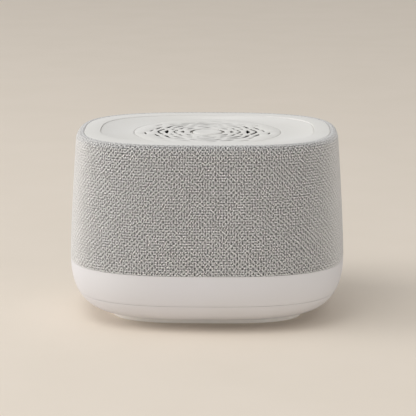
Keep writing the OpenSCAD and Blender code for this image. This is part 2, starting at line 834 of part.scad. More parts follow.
module dial_bridge() {
    color(white) difference() {
        union() {
            tube(bridge_out_r, bridge_in_r, bridge_z - bridge_t, bridge_z);
            around(arms, bridge_tab_r, 45) rod(tab_r, bridge_z - bridge_t, bridge_z);
            around(arms, hub_r - 1, 45) translate([0, -arm_w / 2, arm_bottom_z])
                cube([bridge_out_r - hub_r - 1, arm_w, arm_t]);
            rod(hub_r, arm_bottom_z, arm_top_z);
            rod(post_r, arm_top_z - 1, post_top_z);
            around(2, control_screw_r, 45) rod(control_boss_r, control_z, arm_bottom_z + 1);
        }
        rod(post_r - post_wall, post_floor_z, post_top_z + 1);
        rod(stem_r + stem_play, arm_bottom_z, post_top_z);
        rod(hub_cavity_r, arm_bottom_z - 1, post_floor_z - post_floor_t);
        around(2, control_screw_r, 45) rod(small_screw_r + thread_gap, control_z - 1, arm_top_z - 1);
        around(arms, bridge_tab_r, 45)
            rod(small_screw_r + play, bridge_z - bridge_t - 1, bridge_z + 1);
    }
}

module bridge_screws() {
    color(steel) {
        around(arms, bridge_tab_r, 45) translate([0, 0, bridge_z - bridge_t])
            screw(small_screw_r, bridge_t + panel_z - cap_t - bridge_z);
        around(2, control_screw_r, 45) translate([0, 0, control_z - board_t])
            screw(small_screw_r, board_t + control_screw_bite);
    }
}

module control_board() {
    color(board_green) difference() {
        rod(control_r, control_z - board_t, control_z);
        around(2, control_screw_r, 45)
            rod(small_screw_r + play, control_z - board_t - 1, control_z + 1);
    }
    color(dark) translate([-ribbon_w / 2 - 1, control_plug_y - plug_l,
        control_z - board_t - control_plug_t]) cube([ribbon_w + 2, plug_l, control_plug_t]);
}

module tact_switch() {
    case_w = 6;
    plunger_r = 1.7;
    color(dark) {
        translate([-case_w / 2, -case_w / 2, control_z]) cube([case_w, case_w, switch_h - 0.8]);
        rod(plunger_r, control_z, switch_top_z);
    }
}

module dial_sensor() {
    sensor_w = 3.2;
    color(dark) rotate([0, 0, 45]) translate([code_r - sensor_w / 2, -2, arm_top_z])
        cube([sensor_w, 4, dial_z - code_t - 0.4 - arm_top_z]);
}

// Flat ribbon that follows a path of [y, z] points
module ribbon(path) {
    last = len(path) - 1;
    normals = [for (i = [0 : last])
        let (a = path[max(i - 1, 0)], b = path[min(i + 1, last)], d = b - a)
        [-d[1], d[0]] / norm(d)];
    upper = [for (i = [0 : last]) path[i] + normals[i] * ribbon_t / 2];
    lower = [for (i = [last : -1 : 0]) path[i] - normals[i] * ribbon_t / 2];
    translate([ribbon_w / 2, 0, 0]) rotate([90, 0, -90])
        linear_extrude(ribbon_w) mirror([1, 0]) polygon(concat(upper, lower));
}

function bend(centre, r, a0, a1) =
    [for (i = [0 : 4]) let (a = a0 + (a1 - a0) * i / 4) centre + r * [cos(a), sin(a)]];

module ribbon_cable() {
    r = ribbon_bend_r;
    color([0.85, 0.84, 0.80]) ribbon(concat(
        [[board_plug_y, ribbon_low_z]],
        bend([ribbon_y - r, ribbon_low_z + r], r, -90, 0),
        bend([ribbon_y - r, ribbon_high_z - r], r, 0, 90),
        [[control_plug_y, ribbon_high_z]]));
}

module glide_ring() {
    color(white) tube(dial_r - 0.4, opening_r + 0.3, ledge_z, dial_z);
}

// Bowed stroke of the rosette: its tip points outwards, both arms swell and end round
module stroke(tip, shoulder, half, tip_w, arm_w, bow) {
    steps = 7;
    ends = 0.25;
    function outer(f) = tip - (tip - shoulder) * pow(f, bow);
    function width(f) = f < 1 - ends ? tip_w + (arm_w - tip_w) * f / (1 - ends)
        : arm_w * sqrt((1 - f) / ends);
    places = [for (i = [-steps : steps]) i / steps];
    polygon(concat(
        [for (f = places) polar(outer(abs(f)), half * f)],
        [for (f = reversed(places)) polar(outer(abs(f)) - width(abs(f)), 0.97 * half * f)]));
}

// Lens across the petal, pointed at both ends and three times fuller on its outer side
module lens(r, width, half_w) {
    steps = 6;
    function bulge(f) = width * (1 - pow(abs(f), 1.6));
    places = [for (i = [-steps : steps]) i / steps];
    polygon(concat(
        [for (f = places) [r + 0.75 * bulge(f), half_w * f]],
        [for (i = [steps - 1 : -1 : 1 - steps]) [r - 0.25 * bulge(i / steps), half_w * i / steps]]));
}

// Slim leaf that bends with the circle, between two places given as [radius, angle]
module leaf(from, to, width) {
    steps = 6;
    function edge(f, side) = let (at = from + (to - from) * f)
        polar(at[0] + side * width / 2 * sqrt(sin(180 * f)), at[1]);
    polygon(concat([for (i = [0 : steps]) edge(i / steps, 1)],
        [for (i = [steps - 1 : -1 : 1]) edge(i / steps, -1)]));
}

// Openings of the rosette, from the centre outwards, one petal after the other
module rosette() {
    pitch = 360 / petals;
    for (i = [0 : petals - 1]) rotate([0, 0, i * pitch]) {
        // The outermost marks of the left half mirror those of the right half
        hand = cos(i * pitch) > -0.01 ? pitch : -pitch;
        lens(0.324 * dial_r, 0.96 * stroke_w, 1.28 * stroke_w);
        stroke(0.47 * dial_r, 0.44 * dial_r, 0.46 * pitch, 0.38 * stroke_w, 0.64 * stroke_w, 0.9);
        leaf([0.5125 * dial_r, 0.365 * pitch], [0.5125 * dial_r, 0.635 * pitch], 0.56 * stroke_w);
        lens(0.544 * dial_r, 0.92 * stroke_w, 2.4 * stroke_w);
        stroke(0.6875 * dial_r, 0.64 * dial_r, 0.467 * pitch, 0.48 * stroke_w,
            0.8 * stroke_w, 1.4);
        leaf([0.73 * dial_r, 0.3 * pitch], [0.73 * dial_r, 0.7 * pitch], 0.68 * stroke_w);
        leaf([0.78 * dial_r, 0.01 * hand], [0.76 * dial_r, 0.255 * hand], 0.48 * stroke_w);
        leaf([0.855 * dial_r, -0.055 * hand], [0.8475 * dial_r, -0.31 * hand], 0.44 * stroke_w);
    }
}

// Flat disc of the dial with the openings through it
module pierced_disc(r, z0, z1) {
    translate([0, 0, z0]) linear_extrude(z1 - z0) difference() {
        circle(r);
        circle(post_r + 0.4);
        rosette();
    }
}

module rosette_dial() {
    edge = 0.25;
    color(white) difference() {
        union() {
            pierced_disc(dial_r, panel_z - face_t, panel_z);
            tube(dial_r, dial_r - face_rim_w, dial_z, panel_z - edge);
        }
        tube(dial_r + 1, dial_r - edge, panel_z - edge, panel_z + 1);
    }
}

module dial_carrier() {
    skirt_z = arm_top_z + 0.8;
    hook_z = arm_top_z + 0.5;
    barb_z = bridge_z - 0.3;
    barb = 1.5;
    sweep = 14;
    color(dark) {
        pierced_disc(dial_r - face_rim_w - fit_gap, dial_z, panel_z - face_t);
        tube(post_r + 2.4, post_r + hub_play, skirt_z, dial_z + 0.5);
        for (i = [0 : hooks - 1]) rotate([0, 0, 360 * i / hooks - sweep / 2])
            rotate_extrude(angle = sweep) polygon([
                [hook_r - hook_t, hook_z], [hook_r + 0.5, hook_z], [hook_r + barb, hook_z + 0.8],
                [hook_r + barb, barb_z], [hook_r, barb_z], [hook_r, dial_z + 0.2],
                [hook_r - hook_t, dial_z + 0.2]]);
    }
}

module code_ring() {
    notch_w = 1.2;
    color(dark) difference() {
        tube(code_r + code_w / 2, code_r - code_w / 2, dial_z - code_t, dial_z);
        around(code_notches, code_r) translate([0, -notch_w / 2, dial_z - code_t - 0.1])
            cube([code_w, notch_w, 0.9]);
    }
}

module dust_cloth() {
    beside = code_w / 2 + 0.2;
    color(dark) {
        tube(code_r - beside, post_r + 2.8, dial_z - cloth_ring_t, dial_z);
        tube(hook_r - hook_t - 0.3, code_r + beside, dial_z - cloth_ring_t, dial_z);
    }
}

module button_spring() {
    turns = 3.5;
    wire = 0.25;
    sides = 6;
    rings = 50;
    low = post_floor_z + wire;
    high = button_under_z + 0.8 - wire;
    function coil_point(k, s) = let (a = 360 * turns * k / rings, r = stem_r + 1.2,
        b = 360 * s / sides) [(r + wire * cos(b)) * cos(a), (r + wire * cos(b)) * sin(a),
            low + (high - low) * k / rings + wire * sin(b)];
    points = [for (k = [0 : rings]) for (s = [0 : sides - 1]) coil_point(k, s)];
    walls = [for (k = [0 : rings - 1]) for (s = [0 : sides - 1])
        each quad(k * sides, (k + 1) * sides, s, (s + 1) % sides)];
    start = [for (s = [0 : sides - 1]) s];
    end = [for (s = [sides - 1 : -1 : 0]) rings * sides + s];
    color(steel) polyhedron(points = points, faces = concat(walls, [start, end]));
}

module power_button() {
    ceiling = button_under_z + 0.8;
    dish = [for (i = [0 : 8]) let (x = dish_r * (1 - i / 8))
        [x, button_top_z - dish_d * (1 - pow(x / dish_r, 2))]];
    color(white) difference() {
        union() {
            rotate_extrude() polygon(concat(
                [[0, ceiling], [button_r - 1, ceiling], [button_r - 1, button_under_z - 1],
                    [button_r, button_under_z - 1], [button_r, button_top_z - 0.5],
                    [button_r - 0.5, button_top_z]],
                dish));
            rod(stem_r, stem_end_z, ceiling + 0.2);
            rod(collar_r, stem_end_z, stem_end_z + collar_t);
        }
        translate([-0.5, -collar_r - 1, stem_end_z - 1]) cube([1, 2 * collar_r + 2, 4]);
    }
}

foot_pad();
base_tray();
case_screws();
base_shell();
main_board();
board_parts();
board_screws();
power_socket();
speaker_box();
lead_grommet();
speaker_leads();
speaker_magnet();
speaker_yoke();
speaker_basket();
voice_coil();
speaker_damper();
speaker_cone();
speaker_surround();
dust_cap();
speaker_gasket();
speaker_baffle();
baffle_screws();
speaker_screws();
sleeve_frame();
frame_screws();
fabric_sleeve();
top_cap();
cap_screws();
dial_bridge();
bridge_screws();
control_board();
tact_switch();
dial_sensor();
ribbon_cable();
glide_ring();
rosette_dial();
dial_carrier();
code_ring();
dust_cloth();
button_spring();
power_button();
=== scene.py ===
import json
import math

import bmesh
import bpy
import numpy as np
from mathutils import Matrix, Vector
from mathutils.geometry import delaunay_2d_cdt


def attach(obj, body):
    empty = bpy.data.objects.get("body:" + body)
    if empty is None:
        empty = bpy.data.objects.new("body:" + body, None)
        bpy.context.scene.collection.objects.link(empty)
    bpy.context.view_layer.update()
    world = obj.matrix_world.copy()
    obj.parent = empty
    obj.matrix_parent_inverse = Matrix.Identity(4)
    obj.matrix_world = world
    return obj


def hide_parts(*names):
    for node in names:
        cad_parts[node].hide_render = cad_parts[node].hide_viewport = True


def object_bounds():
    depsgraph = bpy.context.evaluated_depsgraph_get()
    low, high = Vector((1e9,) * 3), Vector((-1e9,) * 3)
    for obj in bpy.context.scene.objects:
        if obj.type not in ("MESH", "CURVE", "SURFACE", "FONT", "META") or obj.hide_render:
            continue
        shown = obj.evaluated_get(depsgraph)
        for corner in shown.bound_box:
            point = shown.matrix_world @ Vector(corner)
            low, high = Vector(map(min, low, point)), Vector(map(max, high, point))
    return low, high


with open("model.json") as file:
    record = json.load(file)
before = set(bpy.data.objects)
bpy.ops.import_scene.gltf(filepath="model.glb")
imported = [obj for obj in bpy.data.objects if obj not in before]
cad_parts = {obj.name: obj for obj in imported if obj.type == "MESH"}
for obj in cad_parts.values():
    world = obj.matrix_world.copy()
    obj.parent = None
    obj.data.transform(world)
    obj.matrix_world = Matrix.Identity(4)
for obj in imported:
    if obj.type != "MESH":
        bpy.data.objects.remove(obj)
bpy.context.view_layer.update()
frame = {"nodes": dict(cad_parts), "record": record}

mm = 0.001
tau = 2 * math.pi
crease = 32              # edges that bend by more than this many degrees stay sharp
past = 1                 # how far a tool runs on beyond the face that it cuts or joins
sliver = 0.01            # keeps two faces from lying in each other
softShare = 0.3          # place of the middle point of an edge rounded in three points
diagonals = (45, 135, 225, 315)
planColumns = 360        # points round the body

# the outline that every shell follows, in millimetres
lowCorner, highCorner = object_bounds()
body = dict(
    width=(highCorner.x - lowCorner.x) / mm,
    depth=(highCorner.y - lowCorner.y) / mm,
    height=highCorner.z / mm,
    squareness=2.9,      # seen from above, where 2 is an ellipse
    waist=34.5,          # height of the widest place
    lean=4,              # how far the sides come in at the top
    leanPower=1.3,
    belly=26.5,          # how far the belly pulls in above the foot
    bellyPower=2.45,
    footHeight=4,
    wall=2.2,
    seam=16,             # height of the line round the belly
    seamGap=0.1,
)
foot = dict(width=106, depth=65, squareness=3.2)


def signedPower(values, power):
    return np.sign(values) * np.abs(values) ** power


def planPoints(angles, inset, plan=body):
    across = 2 / plan["squareness"]
    x = (plan["width"] / 2 - inset) * signedPower(np.cos(angles), across)
    y = (plan["depth"] / 2 - inset) * signedPower(np.sin(angles), across)
    return np.stack([x, y], axis=1)


def evenAngles(columns, plan=body, samples=24001):
    # angles that lie evenly along the outline, and the outline's length
    fine = np.linspace(0, tau, samples)
    steps = np.linalg.norm(np.diff(planPoints(fine, 0, plan), axis=0), axis=1)
    length = np.concatenate([[0], np.cumsum(steps)])
    places = np.linspace(0, length[-1], columns, endpoint=False)
    return np.interp(places, length, fine), length[-1]


def bodyInset(z):
    above = max(z - body["waist"], 0) / (body["height"] - body["waist"])
    return body["lean"] * above ** body["leanPower"]


def bellyPoint(angle, skin):
    across = 2 / body["bellyPower"]
    inset = skin + (body["belly"] - skin) * (1 - math.cos(angle) ** across)
    drop = (body["waist"] - body["footHeight"] - skin) * math.sin(angle) ** across
    return inset, body["waist"] - drop


def bellyAngle(z, skin):
    share = (body["waist"] - z) / (body["waist"] - body["footHeight"] - skin)
    return math.asin(min(share, 1) ** (body["bellyPower"] / 2))


def bellyAt(z, skin):
    return bellyPoint(bellyAngle(z, skin), skin)


def bellyBand(low, high, skin, steps):
    start, end = bellyAngle(low, skin), bellyAngle(high, skin)
    return [bellyPoint(start + (end - start) * i / steps, skin) for i in range(steps + 1)]


def polar(radius, degrees):
    turn = math.radians(degrees)
    return np.array([radius * math.cos(turn), radius * math.sin(turn)])


def circleOutline(radius, steps):
    return np.array([polar(radius, 360 * i / steps) for i in range(steps)])


def arc(centre, radius, start, end, steps):
    # round stretch of a profile, in degrees; 0 points inwards and 90 up
    turns = [start + (end - start) * i / steps for i in range(steps + 1)]
    return [polar(radius, turn) + centre for turn in turns]


def newPiece(name, points, faces, creaseAngle=crease):
    mesh = bpy.data.meshes.new(name)
    mesh.from_pydata((np.asarray(points, float) * mm).tolist(), [], faces)
    piece = bpy.data.objects.new(name, mesh)
    bpy.context.scene.collection.objects.link(piece)
    tidyMesh(mesh, creaseAngle)
    return piece


def tidyMesh(mesh, creaseAngle):
    work = bmesh.new()
    work.from_mesh(mesh)
    bmesh.ops.recalc_face_normals(work, faces=work.faces)
    work.to_mesh(mesh)
    work.free()
    mesh.shade_smooth()
    mesh.set_sharp_from_angle(angle=math.radians(creaseAngle))


def ringFaces(rings, columns, closed):
    faces = []
    for ring in range(rings if closed else rings - 1):
        low, high = ring * columns, (ring + 1) % rings * columns
        for column in range(columns):
            after = (column + 1) % columns
            faces.append((low + column, low + after, high + after, high + column))
    return faces


def loft(name, rings, closed=True, creaseAngle=crease):
    # joins rings of points one after the other, closed into a band or capped at both ends
    columns = len(rings[0])
    faces = ringFaces(len(rings), columns, closed)
    if not closed:
        last = (len(rings) - 1) * columns
        faces.append(tuple(range(columns)))
        faces.append(tuple(range(last, last + columns)))
    return newPiece(name, np.concatenate(rings), faces, creaseAngle)


def atHeight(points, z):
    return np.column_stack([points, np.full(len(points), z)])


def planRing(angles, inset, z, plan=body):
    return atHeight(planPoints(angles, inset, plan), z)


def circleRing(angles, radius, z):
    # a round ring whose columns point the same way as the body's outline
    points = planPoints(angles, 0)
    return atHeight(points / np.linalg.norm(points, axis=1)[:, None] * radius, z)


def planLoft(name, profile, plan=body, closed=True):
    angles = evenAngles(planColumns, plan)[0]
    return loft(name, [planRing(angles, inset, z, plan) for inset, z in profile], closed)


def lathe(name, profile, columns=96, closed=True, centre=(0, 0)):
    # turns a profile of (radius, z) round the vertical axis
    rings = [atHeight(circleOutline(radius, columns) + centre, z) for radius, z in profile]
    return loft(name, rings, closed)


def rod(radius, low, high, centre, columns=40):
    return lathe("tool", [(radius, low), (radius, high)], columns, False, centre)


def rods(radius, low, high, places):
    return [rod(radius, low, high, place) for place in places]


def tube(outer, inner, low, high, columns=96):
    return lathe("tool", [(outer, low), (outer, high), (inner, high), (inner, low)], columns)


def shape(piece, operation, tools, creaseAngle=crease):
    # fuses the tools to the piece or cuts them from it
    for tool in tools:
        change = piece.modifiers.new("shape", "BOOLEAN")
        change.solver = "MANIFOLD"
        change.operation = operation
        change.object = tool
    bpy.context.view_layer.update()
    seen = piece.evaluated_get(bpy.context.evaluated_depsgraph_get())
    made = bpy.data.meshes.new_from_object(seen)
    piece.modifiers.clear()
    piece.data = made
    for tool in tools:
        bpy.data.objects.remove(tool)
    tidyMesh(made, creaseAngle)
    return piece


def cornerPlaces(inset, plan=body):
    return list(planPoints(np.radians(diagonals), inset, plan))


def dress(piece, bodyName, slot, *nodes):
    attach(piece, bodyName)
    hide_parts(*nodes)
    piece.data.materials.clear()
    piece.data.materials.append(finishes[slot])
    return piece


def sign(operation, swapped=False):
    # what a sign such as + does with a wire: it adds a Math node
    def apply(wire, other):
        return wire.math(operation, *(other, wire) if swapped else (wire, other))
    return apply


class Wire:
    # an output socket of a material
    def __init__(self, tree, socket=None):
        self.tree = tree
        self.socket = socket

    def node(self, kind, settings=None, inputs=None, out=0):
        made = self.tree.nodes.new("ShaderNode" + kind)
        for name, value in (settings or {}).items():
            setattr(made, name, value)
        for name, value in (inputs or {}).items():
            if isinstance(value, Wire):
                self.tree.links.new(value.socket, made.inputs[name])
            else:
                made.inputs[name].default_value = value
        return Wire(self.tree, made.outputs[out])

    def other(self, name):
        # another output of the node that this wire comes from
        return Wire(self.tree, self.socket.node.outputs[name])

    def math(self, operation, *values):
        return self.node("Math", {"operation": operation}, dict(enumerate(values)))

    def __abs__(self):
        return self.math("ABSOLUTE", self)

    __add__ = __radd__ = sign("ADD")
    __mul__ = __rmul__ = sign("MULTIPLY")
    __sub__ = sign("SUBTRACT")
    __rsub__ = sign("SUBTRACT", swapped=True)
    __truediv__ = sign("DIVIDE")
    __pow__ = sign("POWER")

    def between(self, low, high):
        # 0 below low, 1 above high, smooth in between
        return self.node("MapRange", {"interpolation_type": "SMOOTHSTEP"},
                         {"Value": self, "From Min": low, "From Max": high})

    def blend(self, first, second):
        # first where the wire is 0, second where it is 1
        return self.node("Mix", {"data_type": "RGBA"}, {0: self, 6: first, 7: second}, out=2)

    def places(self):
        # where a point lies on its piece, in millimetres; output 3 is Object
        place = self.node("TexCoord", out=3)
        return self.node("VectorMath", {"operation": "SCALE"}, {0: place, "Scale": 1 / mm})

    def noise(self, place, size, detail=2.0, roughness=0.5):
        return self.node("TexNoise", {}, {"Vector": place, "Scale": 1 / size, "Detail": detail,
                                          "Roughness": roughness})


def rgb(red, green, blue):
    # screen colour, 0 to 255, as the shader's own numbers
    def linear(value):
        share = value / 255
        return share / 12.92 if share <= 0.04045 else ((share + 0.055) / 1.055) ** 2.4
    return linear(red), linear(green), linear(blue), 1.0


def newFinish(name, build, fixed, nap=None):
    # build gives what changes over the surface; fixed is set on the shader itself;
    # nap is a pale colour mixed over the surface where it is seen edge on: painted sheen
    material = bpy.data.materials.new(name)
    material.use_nodes = True
    tree = material.node_tree
    shader = tree.nodes["Principled BSDF"]
    for socket, value in fixed.items():
        shader.inputs[socket].default_value = value
    made = build(Wire(tree))
    height = made.pop("height", None)
    if height:
        wire, depth = height
        bump = wire.node("Bump", {}, {"Strength": 1.0, "Distance": depth * mm, "Height": wire})
        made["Normal"] = bump
    for socket, wire in made.items():
        tree.links.new(wire.socket, shader.inputs[socket])
    if nap:
        # painted sheen: a pale shader mixed in more strongly the more edge on the surface is
        # seen
        wire = Wire(tree)
        facing = wire.node("LayerWeight", {}, {"Blend": 0.5}).other("Facing")
        cover = facing.between(nap["start"], nap["end"]) * nap["most"]
        pale = wire.node("BsdfPrincipled", {}, {
            "Base Color": rgb(*nap["colour"]), "Roughness": 1.0, "Specular IOR Level": 0.1})
        both = wire.node("MixShader", {}, {0: cover, 1: Wire(tree, shader.outputs[0]), 2: pale})
        tree.links.new(both.socket, tree.nodes["Material Output"].inputs["Surface"])
    return material


def patchy(name, look, build, fixed, nap=None):
    # build gives where the second colour shows, what roughness is added, and the relief
    def surface(wire):
        second, rougher, height = build(wire)
        return {
            "Base Color": second.blend(rgb(*look["colour"]), rgb(*look["second"])),
            "Roughness": look["roughness"] + rougher,
            "height": (height, look["depth"]),
        }
    return newFinish(name, surface, fixed, nap)


# size of the slow changes over each kind of surface, in millimetres
patches = dict(flow=38, handled=13, line=0.25, stain=6, bloom=9, thread=2.5, fibre=0.7,
               blotch=7, lacquer=4)


def mouldedPlastic(name, **look):
    # fine spark-eroded grain, soft flow marks and a few duller patches
    def build(wire):
        place = wire.places()
        grain = wire.noise(place, look["grain"], 3, 0.6)
        flow = wire.noise(place, patches["flow"], 2).between(0.35, 0.65)
        handled = wire.noise(place, patches["handled"], 3).between(0.5, 0.72)
        return flow, 0.05 * handled + 0.08 * (grain - 0.5), grain
    return patchy(name, look, build, {"Specular IOR Level": look["shine"]})


def metal(name, **look):
    # brushed or plated metal with drawn lines and faint stains
    def build(wire):
        place = wire.places()
        stretched = wire.node("Mapping", {}, {"Vector": place, "Scale": look["lines"]})
        lines = wire.noise(stretched, patches["line"], 2)
        stain = wire.noise(place, patches["stain"], 3).between(0.45, 0.75)
        return stain, 0.12 * (lines - 0.5) + 0.1 * stain, lines
    return patchy(name, look, build, {"Metallic": look["metal"]})


def rubber(name, **look):
    # matt rubber with a dusty bloom in its pores
    def build(wire):
        place = wire.places()
        pores = wire.noise(place, look["pores"], 4, 0.65)
        bloom = wire.noise(place, patches["bloom"], 3).between(0.4, 0.7)
        return bloom, 0.08 * pores, pores
    return patchy(name, look, build, {"Specular IOR Level": 0.3})


def weave(name, **look):
    # plain woven cloth: threads over and under along X and Y
    def build(wire):
        place = wire.places()
        across = wire.node("SeparateXYZ", {}, {0: place})
        along = across.other("Y")
        waveA = wire.math("SINE", across * (math.pi / look["pitch"]))
        waveB = wire.math("SINE", along * (math.pi / look["pitch"]))
        hole = 1 - abs(waveA).between(0, 0.5) * abs(waveB).between(0, 0.5)
        uneven = wire.noise(place, patches["thread"], 2)
        return hole * look["open"] + 0.3 * (uneven - 0.5), 0.1 * uneven, abs(waveA * waveB)
    return patchy(name, look, build, {"Specular IOR Level": 0.2})


def pulp(name, **look):
    # pressed paper pulp with short fibres
    def build(wire):
        place = wire.places()
        fibres = wire.noise(place, patches["fibre"], 5, 0.7)
        blotch = wire.noise(place, patches["blotch"], 2).between(0.35, 0.7)
        return blotch, 0.1 * fibres, fibres
    return patchy(name, look, build, {"Specular IOR Level": 0.25})


def circuitBoard(name, **look):
    # green lacquer over straight copper tracks
    def build(wire):
        place, black, white = wire.places(), (0, 0, 0, 1), (1, 1, 1, 1)
        track = wire.node("TexBrick", {"offset": 0.5}, {
            "Vector": place, "Scale": 1.0, "Mortar Size": look["trackWidth"],
            "Mortar Smooth": 0.3, "Brick Width": look["trackLength"],
            "Row Height": look["trackPitch"], "Color1": black, "Color2": black,
            "Mortar": white})
        lacquer = wire.noise(place, patches["lacquer"], 2)
        return track * 0.9 + 0.2 * (lacquer - 0.5), 0.1 * lacquer, track
    return patchy(name, look, build, {"Coat Weight": 0.3})


# knitted cloth, stretched over the frame
sleeve = dict(
    thickness=1.2,
    lowEdge=33.2,
    hem=[(0.12, 0), (0.03, 0.1)],    # its rounded lower edge: inset and rise
    hemEnd=0.4,
    rollRadius=3.5,
    grooveWidth=0.4,
    tuck=4,              # how deep the cloth goes down into the groove
    repeats=162,         # lattice repeats round the body
    columnsPerRepeat=6,
    sideRows=82,
    relief=0.16,         # depth of the lattice, as real relief
    sunk=0.8,            # share of that relief that lies under the cloth's face
    plain=1,             # cloth without relief along both edges
    fadeLow=1.5,         # way over which the relief grows, at the lower edge
    fadeHigh=2,
    turnIn=0.7,          # how far the roll's end stays short of its middle
    loft=0.32,           # how far its soft edge leans over the groove
    fold=[(-0.25, 0.03), (-0.04, 0.2), (0, 0.6)],   # that edge: inset and drop
    foldEnd=1.6,
)
rollHeight = body["height"] - sleeve["rollRadius"]
edgeIn = sleeve["rollRadius"] - sleeve["turnIn"]
lipIn = edgeIn + sleeve["thickness"]
clothPitch = evenAngles(8)[1] / sleeve["repeats"]     # one lattice repeat, about 2.7 mm


def sleeveProfile():
    # outer side first, then over the roll, down into the groove and back up inside
    top, radius = body["height"], sleeve["rollRadius"]
    base, thick = bodyInset(rollHeight), sleeve["thickness"]
    low, tuckEnd = sleeve["lowEdge"], top - sleeve["tuck"]
    heights = np.linspace(low + sleeve["hemEnd"], rollHeight, sleeve["sideRows"])
    side = [(inset, low + rise) for inset, rise in sleeve["hem"]]
    side += [(bodyInset(z), z) for z in heights]
    side += arc((base + radius, rollHeight), -radius, 0, -90, 10)[1:]
    outEnd, inEnd = base + lipIn, base + edgeIn
    lip = [(outEnd + sleeve["loft"] + inset, top - drop) for inset, drop in sleeve["fold"]]
    lip += [(outEnd, top - sleeve["foldEnd"]), (outEnd, tuckEnd), (inEnd, tuckEnd)]
    innerEnd = math.degrees(math.acos((radius - edgeIn) / (radius - thick)))
    innerRoll = arc((base + radius, rollHeight), -(radius - thick), -innerEnd, 0, 4)
    rise = sleeve["hem"][-1][1]
    inside = [(bodyInset(z) + thick, z) for z in np.linspace(rollHeight, low + rise, 9)[1:]]
    return side + lip + innerRoll + inside + [(thick - rise, low)], len(side)


def latticeHeight(u, v):
    # 0 in the holes of the lattice and 1 on its threads; u and v in millimetres
    p = (u + v) / clothPitch
    q = (u - v) / clothPitch
    return 1 - np.cos(np.pi * p) ** 2 * np.cos(np.pi * q) ** 2


def makeSleeve():
    columns = sleeve["repeats"] * sleeve["columnsPerRepeat"]
    angles, girth = evenAngles(columns)
    profile, outerRows = sleeveProfile()
    rings = np.array([planRing(angles, inset, z) for inset, z in profile])
    steps = np.linalg.norm(np.diff(np.array(profile), axis=0), axis=1)
    climb = np.concatenate([[0], np.cumsum(steps)])
    around = np.arange(columns) / columns * girth

    # push the outer rows out and in along their own normals
    alongRing = np.roll(rings, -1, axis=1) - np.roll(rings, 1, axis=1)
    alongSide = np.gradient(rings, axis=0)
    normal = np.cross(alongRing, alongSide)
    normal /= np.linalg.norm(normal, axis=2)[:, :, None]
    relief = latticeHeight(around[None, :], climb[:, None]) - sleeve["sunk"]
    fade = np.minimum((climb - sleeve["plain"]) / sleeve["fadeLow"],
                      (climb[outerRows] - climb - sleeve["plain"]) / sleeve["fadeHigh"])
    fade = np.clip(fade, 0, 1)
    rings += normal * (relief * fade[:, None] * sleeve["relief"])[:, :, None]

    piece = loft("fabricSleeve", list(rings), creaseAngle=60)
    addClothPlaces(piece.data, columns, girth, climb)
    # four points after the outer rows, the cloth has its lowest point in the groove
    climb[outerRows + 4] * mm
    return piece


def addClothPlaces(mesh, columns, girth, climb):
    # u runs round the body and v up the cloth, both in millimetres
    corner = np.zeros(len(mesh.loops), int)
    mesh.loops.foreach_get("vertex_index", corner)
    quads = (corner % columns).reshape(-1, 4)
    # the last column's faces end at the full girth, and don't jump back to 0
    wraps = np.ptp(quads, axis=1) > 1
    quads = np.where(wraps[:, None] & (quads == 0), columns, quads)
    u, v = quads.ravel() / columns * girth, climb[corner // columns]
    layer = mesh.uv_layers.new(name="clothPlace")
    layer.data.foreach_set("uv", np.column_stack([u, v]).ravel())


def knit(name, **look):
    # threads cross at 45 degrees, over and under, with small holes between them; the holes'
    # darkness is painted shade
    def build(wire):
        def cosine(turns):
            return wire.math("COSINE", turns * math.pi)

        place = wire.node("UVMap", {"uv_map": "clothPlace"})
        u = wire.node("SeparateXYZ", {}, {0: place})
        v = u.other("Y")
        sway = look["sway"] * (wire.noise(place, look["swaySize"], 1) - 0.5)
        jitter = look["jitter"] * (wire.noise(place, look["jitterSize"], 1) - 0.5)
        p = (u + v) / clothPitch + sway + jitter
        q = (u - v) / clothPitch - sway + jitter
        offP = abs(wire.math("FRACT", p) - 0.5)
        offQ = abs(wire.math("FRACT", q) - 0.5)
        waveP = wire.math("SINE", p * math.pi)
        waveQ = wire.math("SINE", q * math.pi)
        threadP = 1 - (offP / look["threadWidth"]) ** 2
        threadQ = 1 - (offQ / look["threadWidth"]) ** 2
        overP = look["upper"] + look["swing"] * wire.math("SIGN", waveP) * waveQ
        overQ = look["lower"] - look["swing"] * wire.math("SIGN", waveQ) * waveP
        rise = wire.math("MAXIMUM", wire.math("MAXIMUM", threadP * overP, threadQ * overQ), 0.0)
        knot = wire.node("CombineXYZ", {}, {
            0: wire.math("FLOOR", p + 0.5), 1: wire.math("FLOOR", q + 0.5)})
        cell = wire.node("TexWhiteNoise", {"noise_dimensions": "2D"}, {"Vector": knot})
        # the holes are real, but their darkness is painted shade, deeper in some holes than in
        # others
        hole = 1 - rise.between(look["holeStart"], look["holeEdge"])
        hole = hole * (look["shallow"] + (1 - look["shallow"]) * cell)
        # threads leaning one way show more on one side of the body, and the others opposite
        turn = look["leanTurn"]
        side = wire.node("SeparateXYZ", {}, {0: wire.places()}).between(-turn, turn)
        leaning = side * cosine(2 * p) + (1 - side) * cosine(2 * q)
        # ripples finer than the lattice, each in patches of its own, part the single fibres
        colour = wire.noise(place, look["fibre"], 1).other("Color")
        red = wire.node("SeparateColor", {}, {0: colour})
        ripples = [
            (red, cosine(3 * p + q) + cosine(4 * q)),
            (red.other("Green"), cosine(p + 3 * q) + cosine(4 * p)),
            (red.other("Blue"), cosine(3 * p - q) + cosine(p - 3 * q)),
        ]
        uneven = sum((patch - 0.5) * ripple for patch, ripple in ripples)
        rows, columns = cosine(2 * (p - q)), cosine(2 * (p + q))
        shade = look["level"] - look["holeDepth"] * hole + look["contrast"] * uneven
        shade = shade - look["rows"] * (rows + look["columnShare"] * columns)
        shade = shade - look["lean"] * leaning
        shade = wire.math("MINIMUM", wire.math("MAXIMUM", shade, 0.0), 1.0)
        return shade, 0.1 * red, rise + look["fluff"] * red
    return patchy(name, look, build, {
        "Specular IOR Level": 0.2, "Sheen Weight": look["sheen"],
        "Sheen Roughness": look["sheenRoughness"]}, look["nap"])


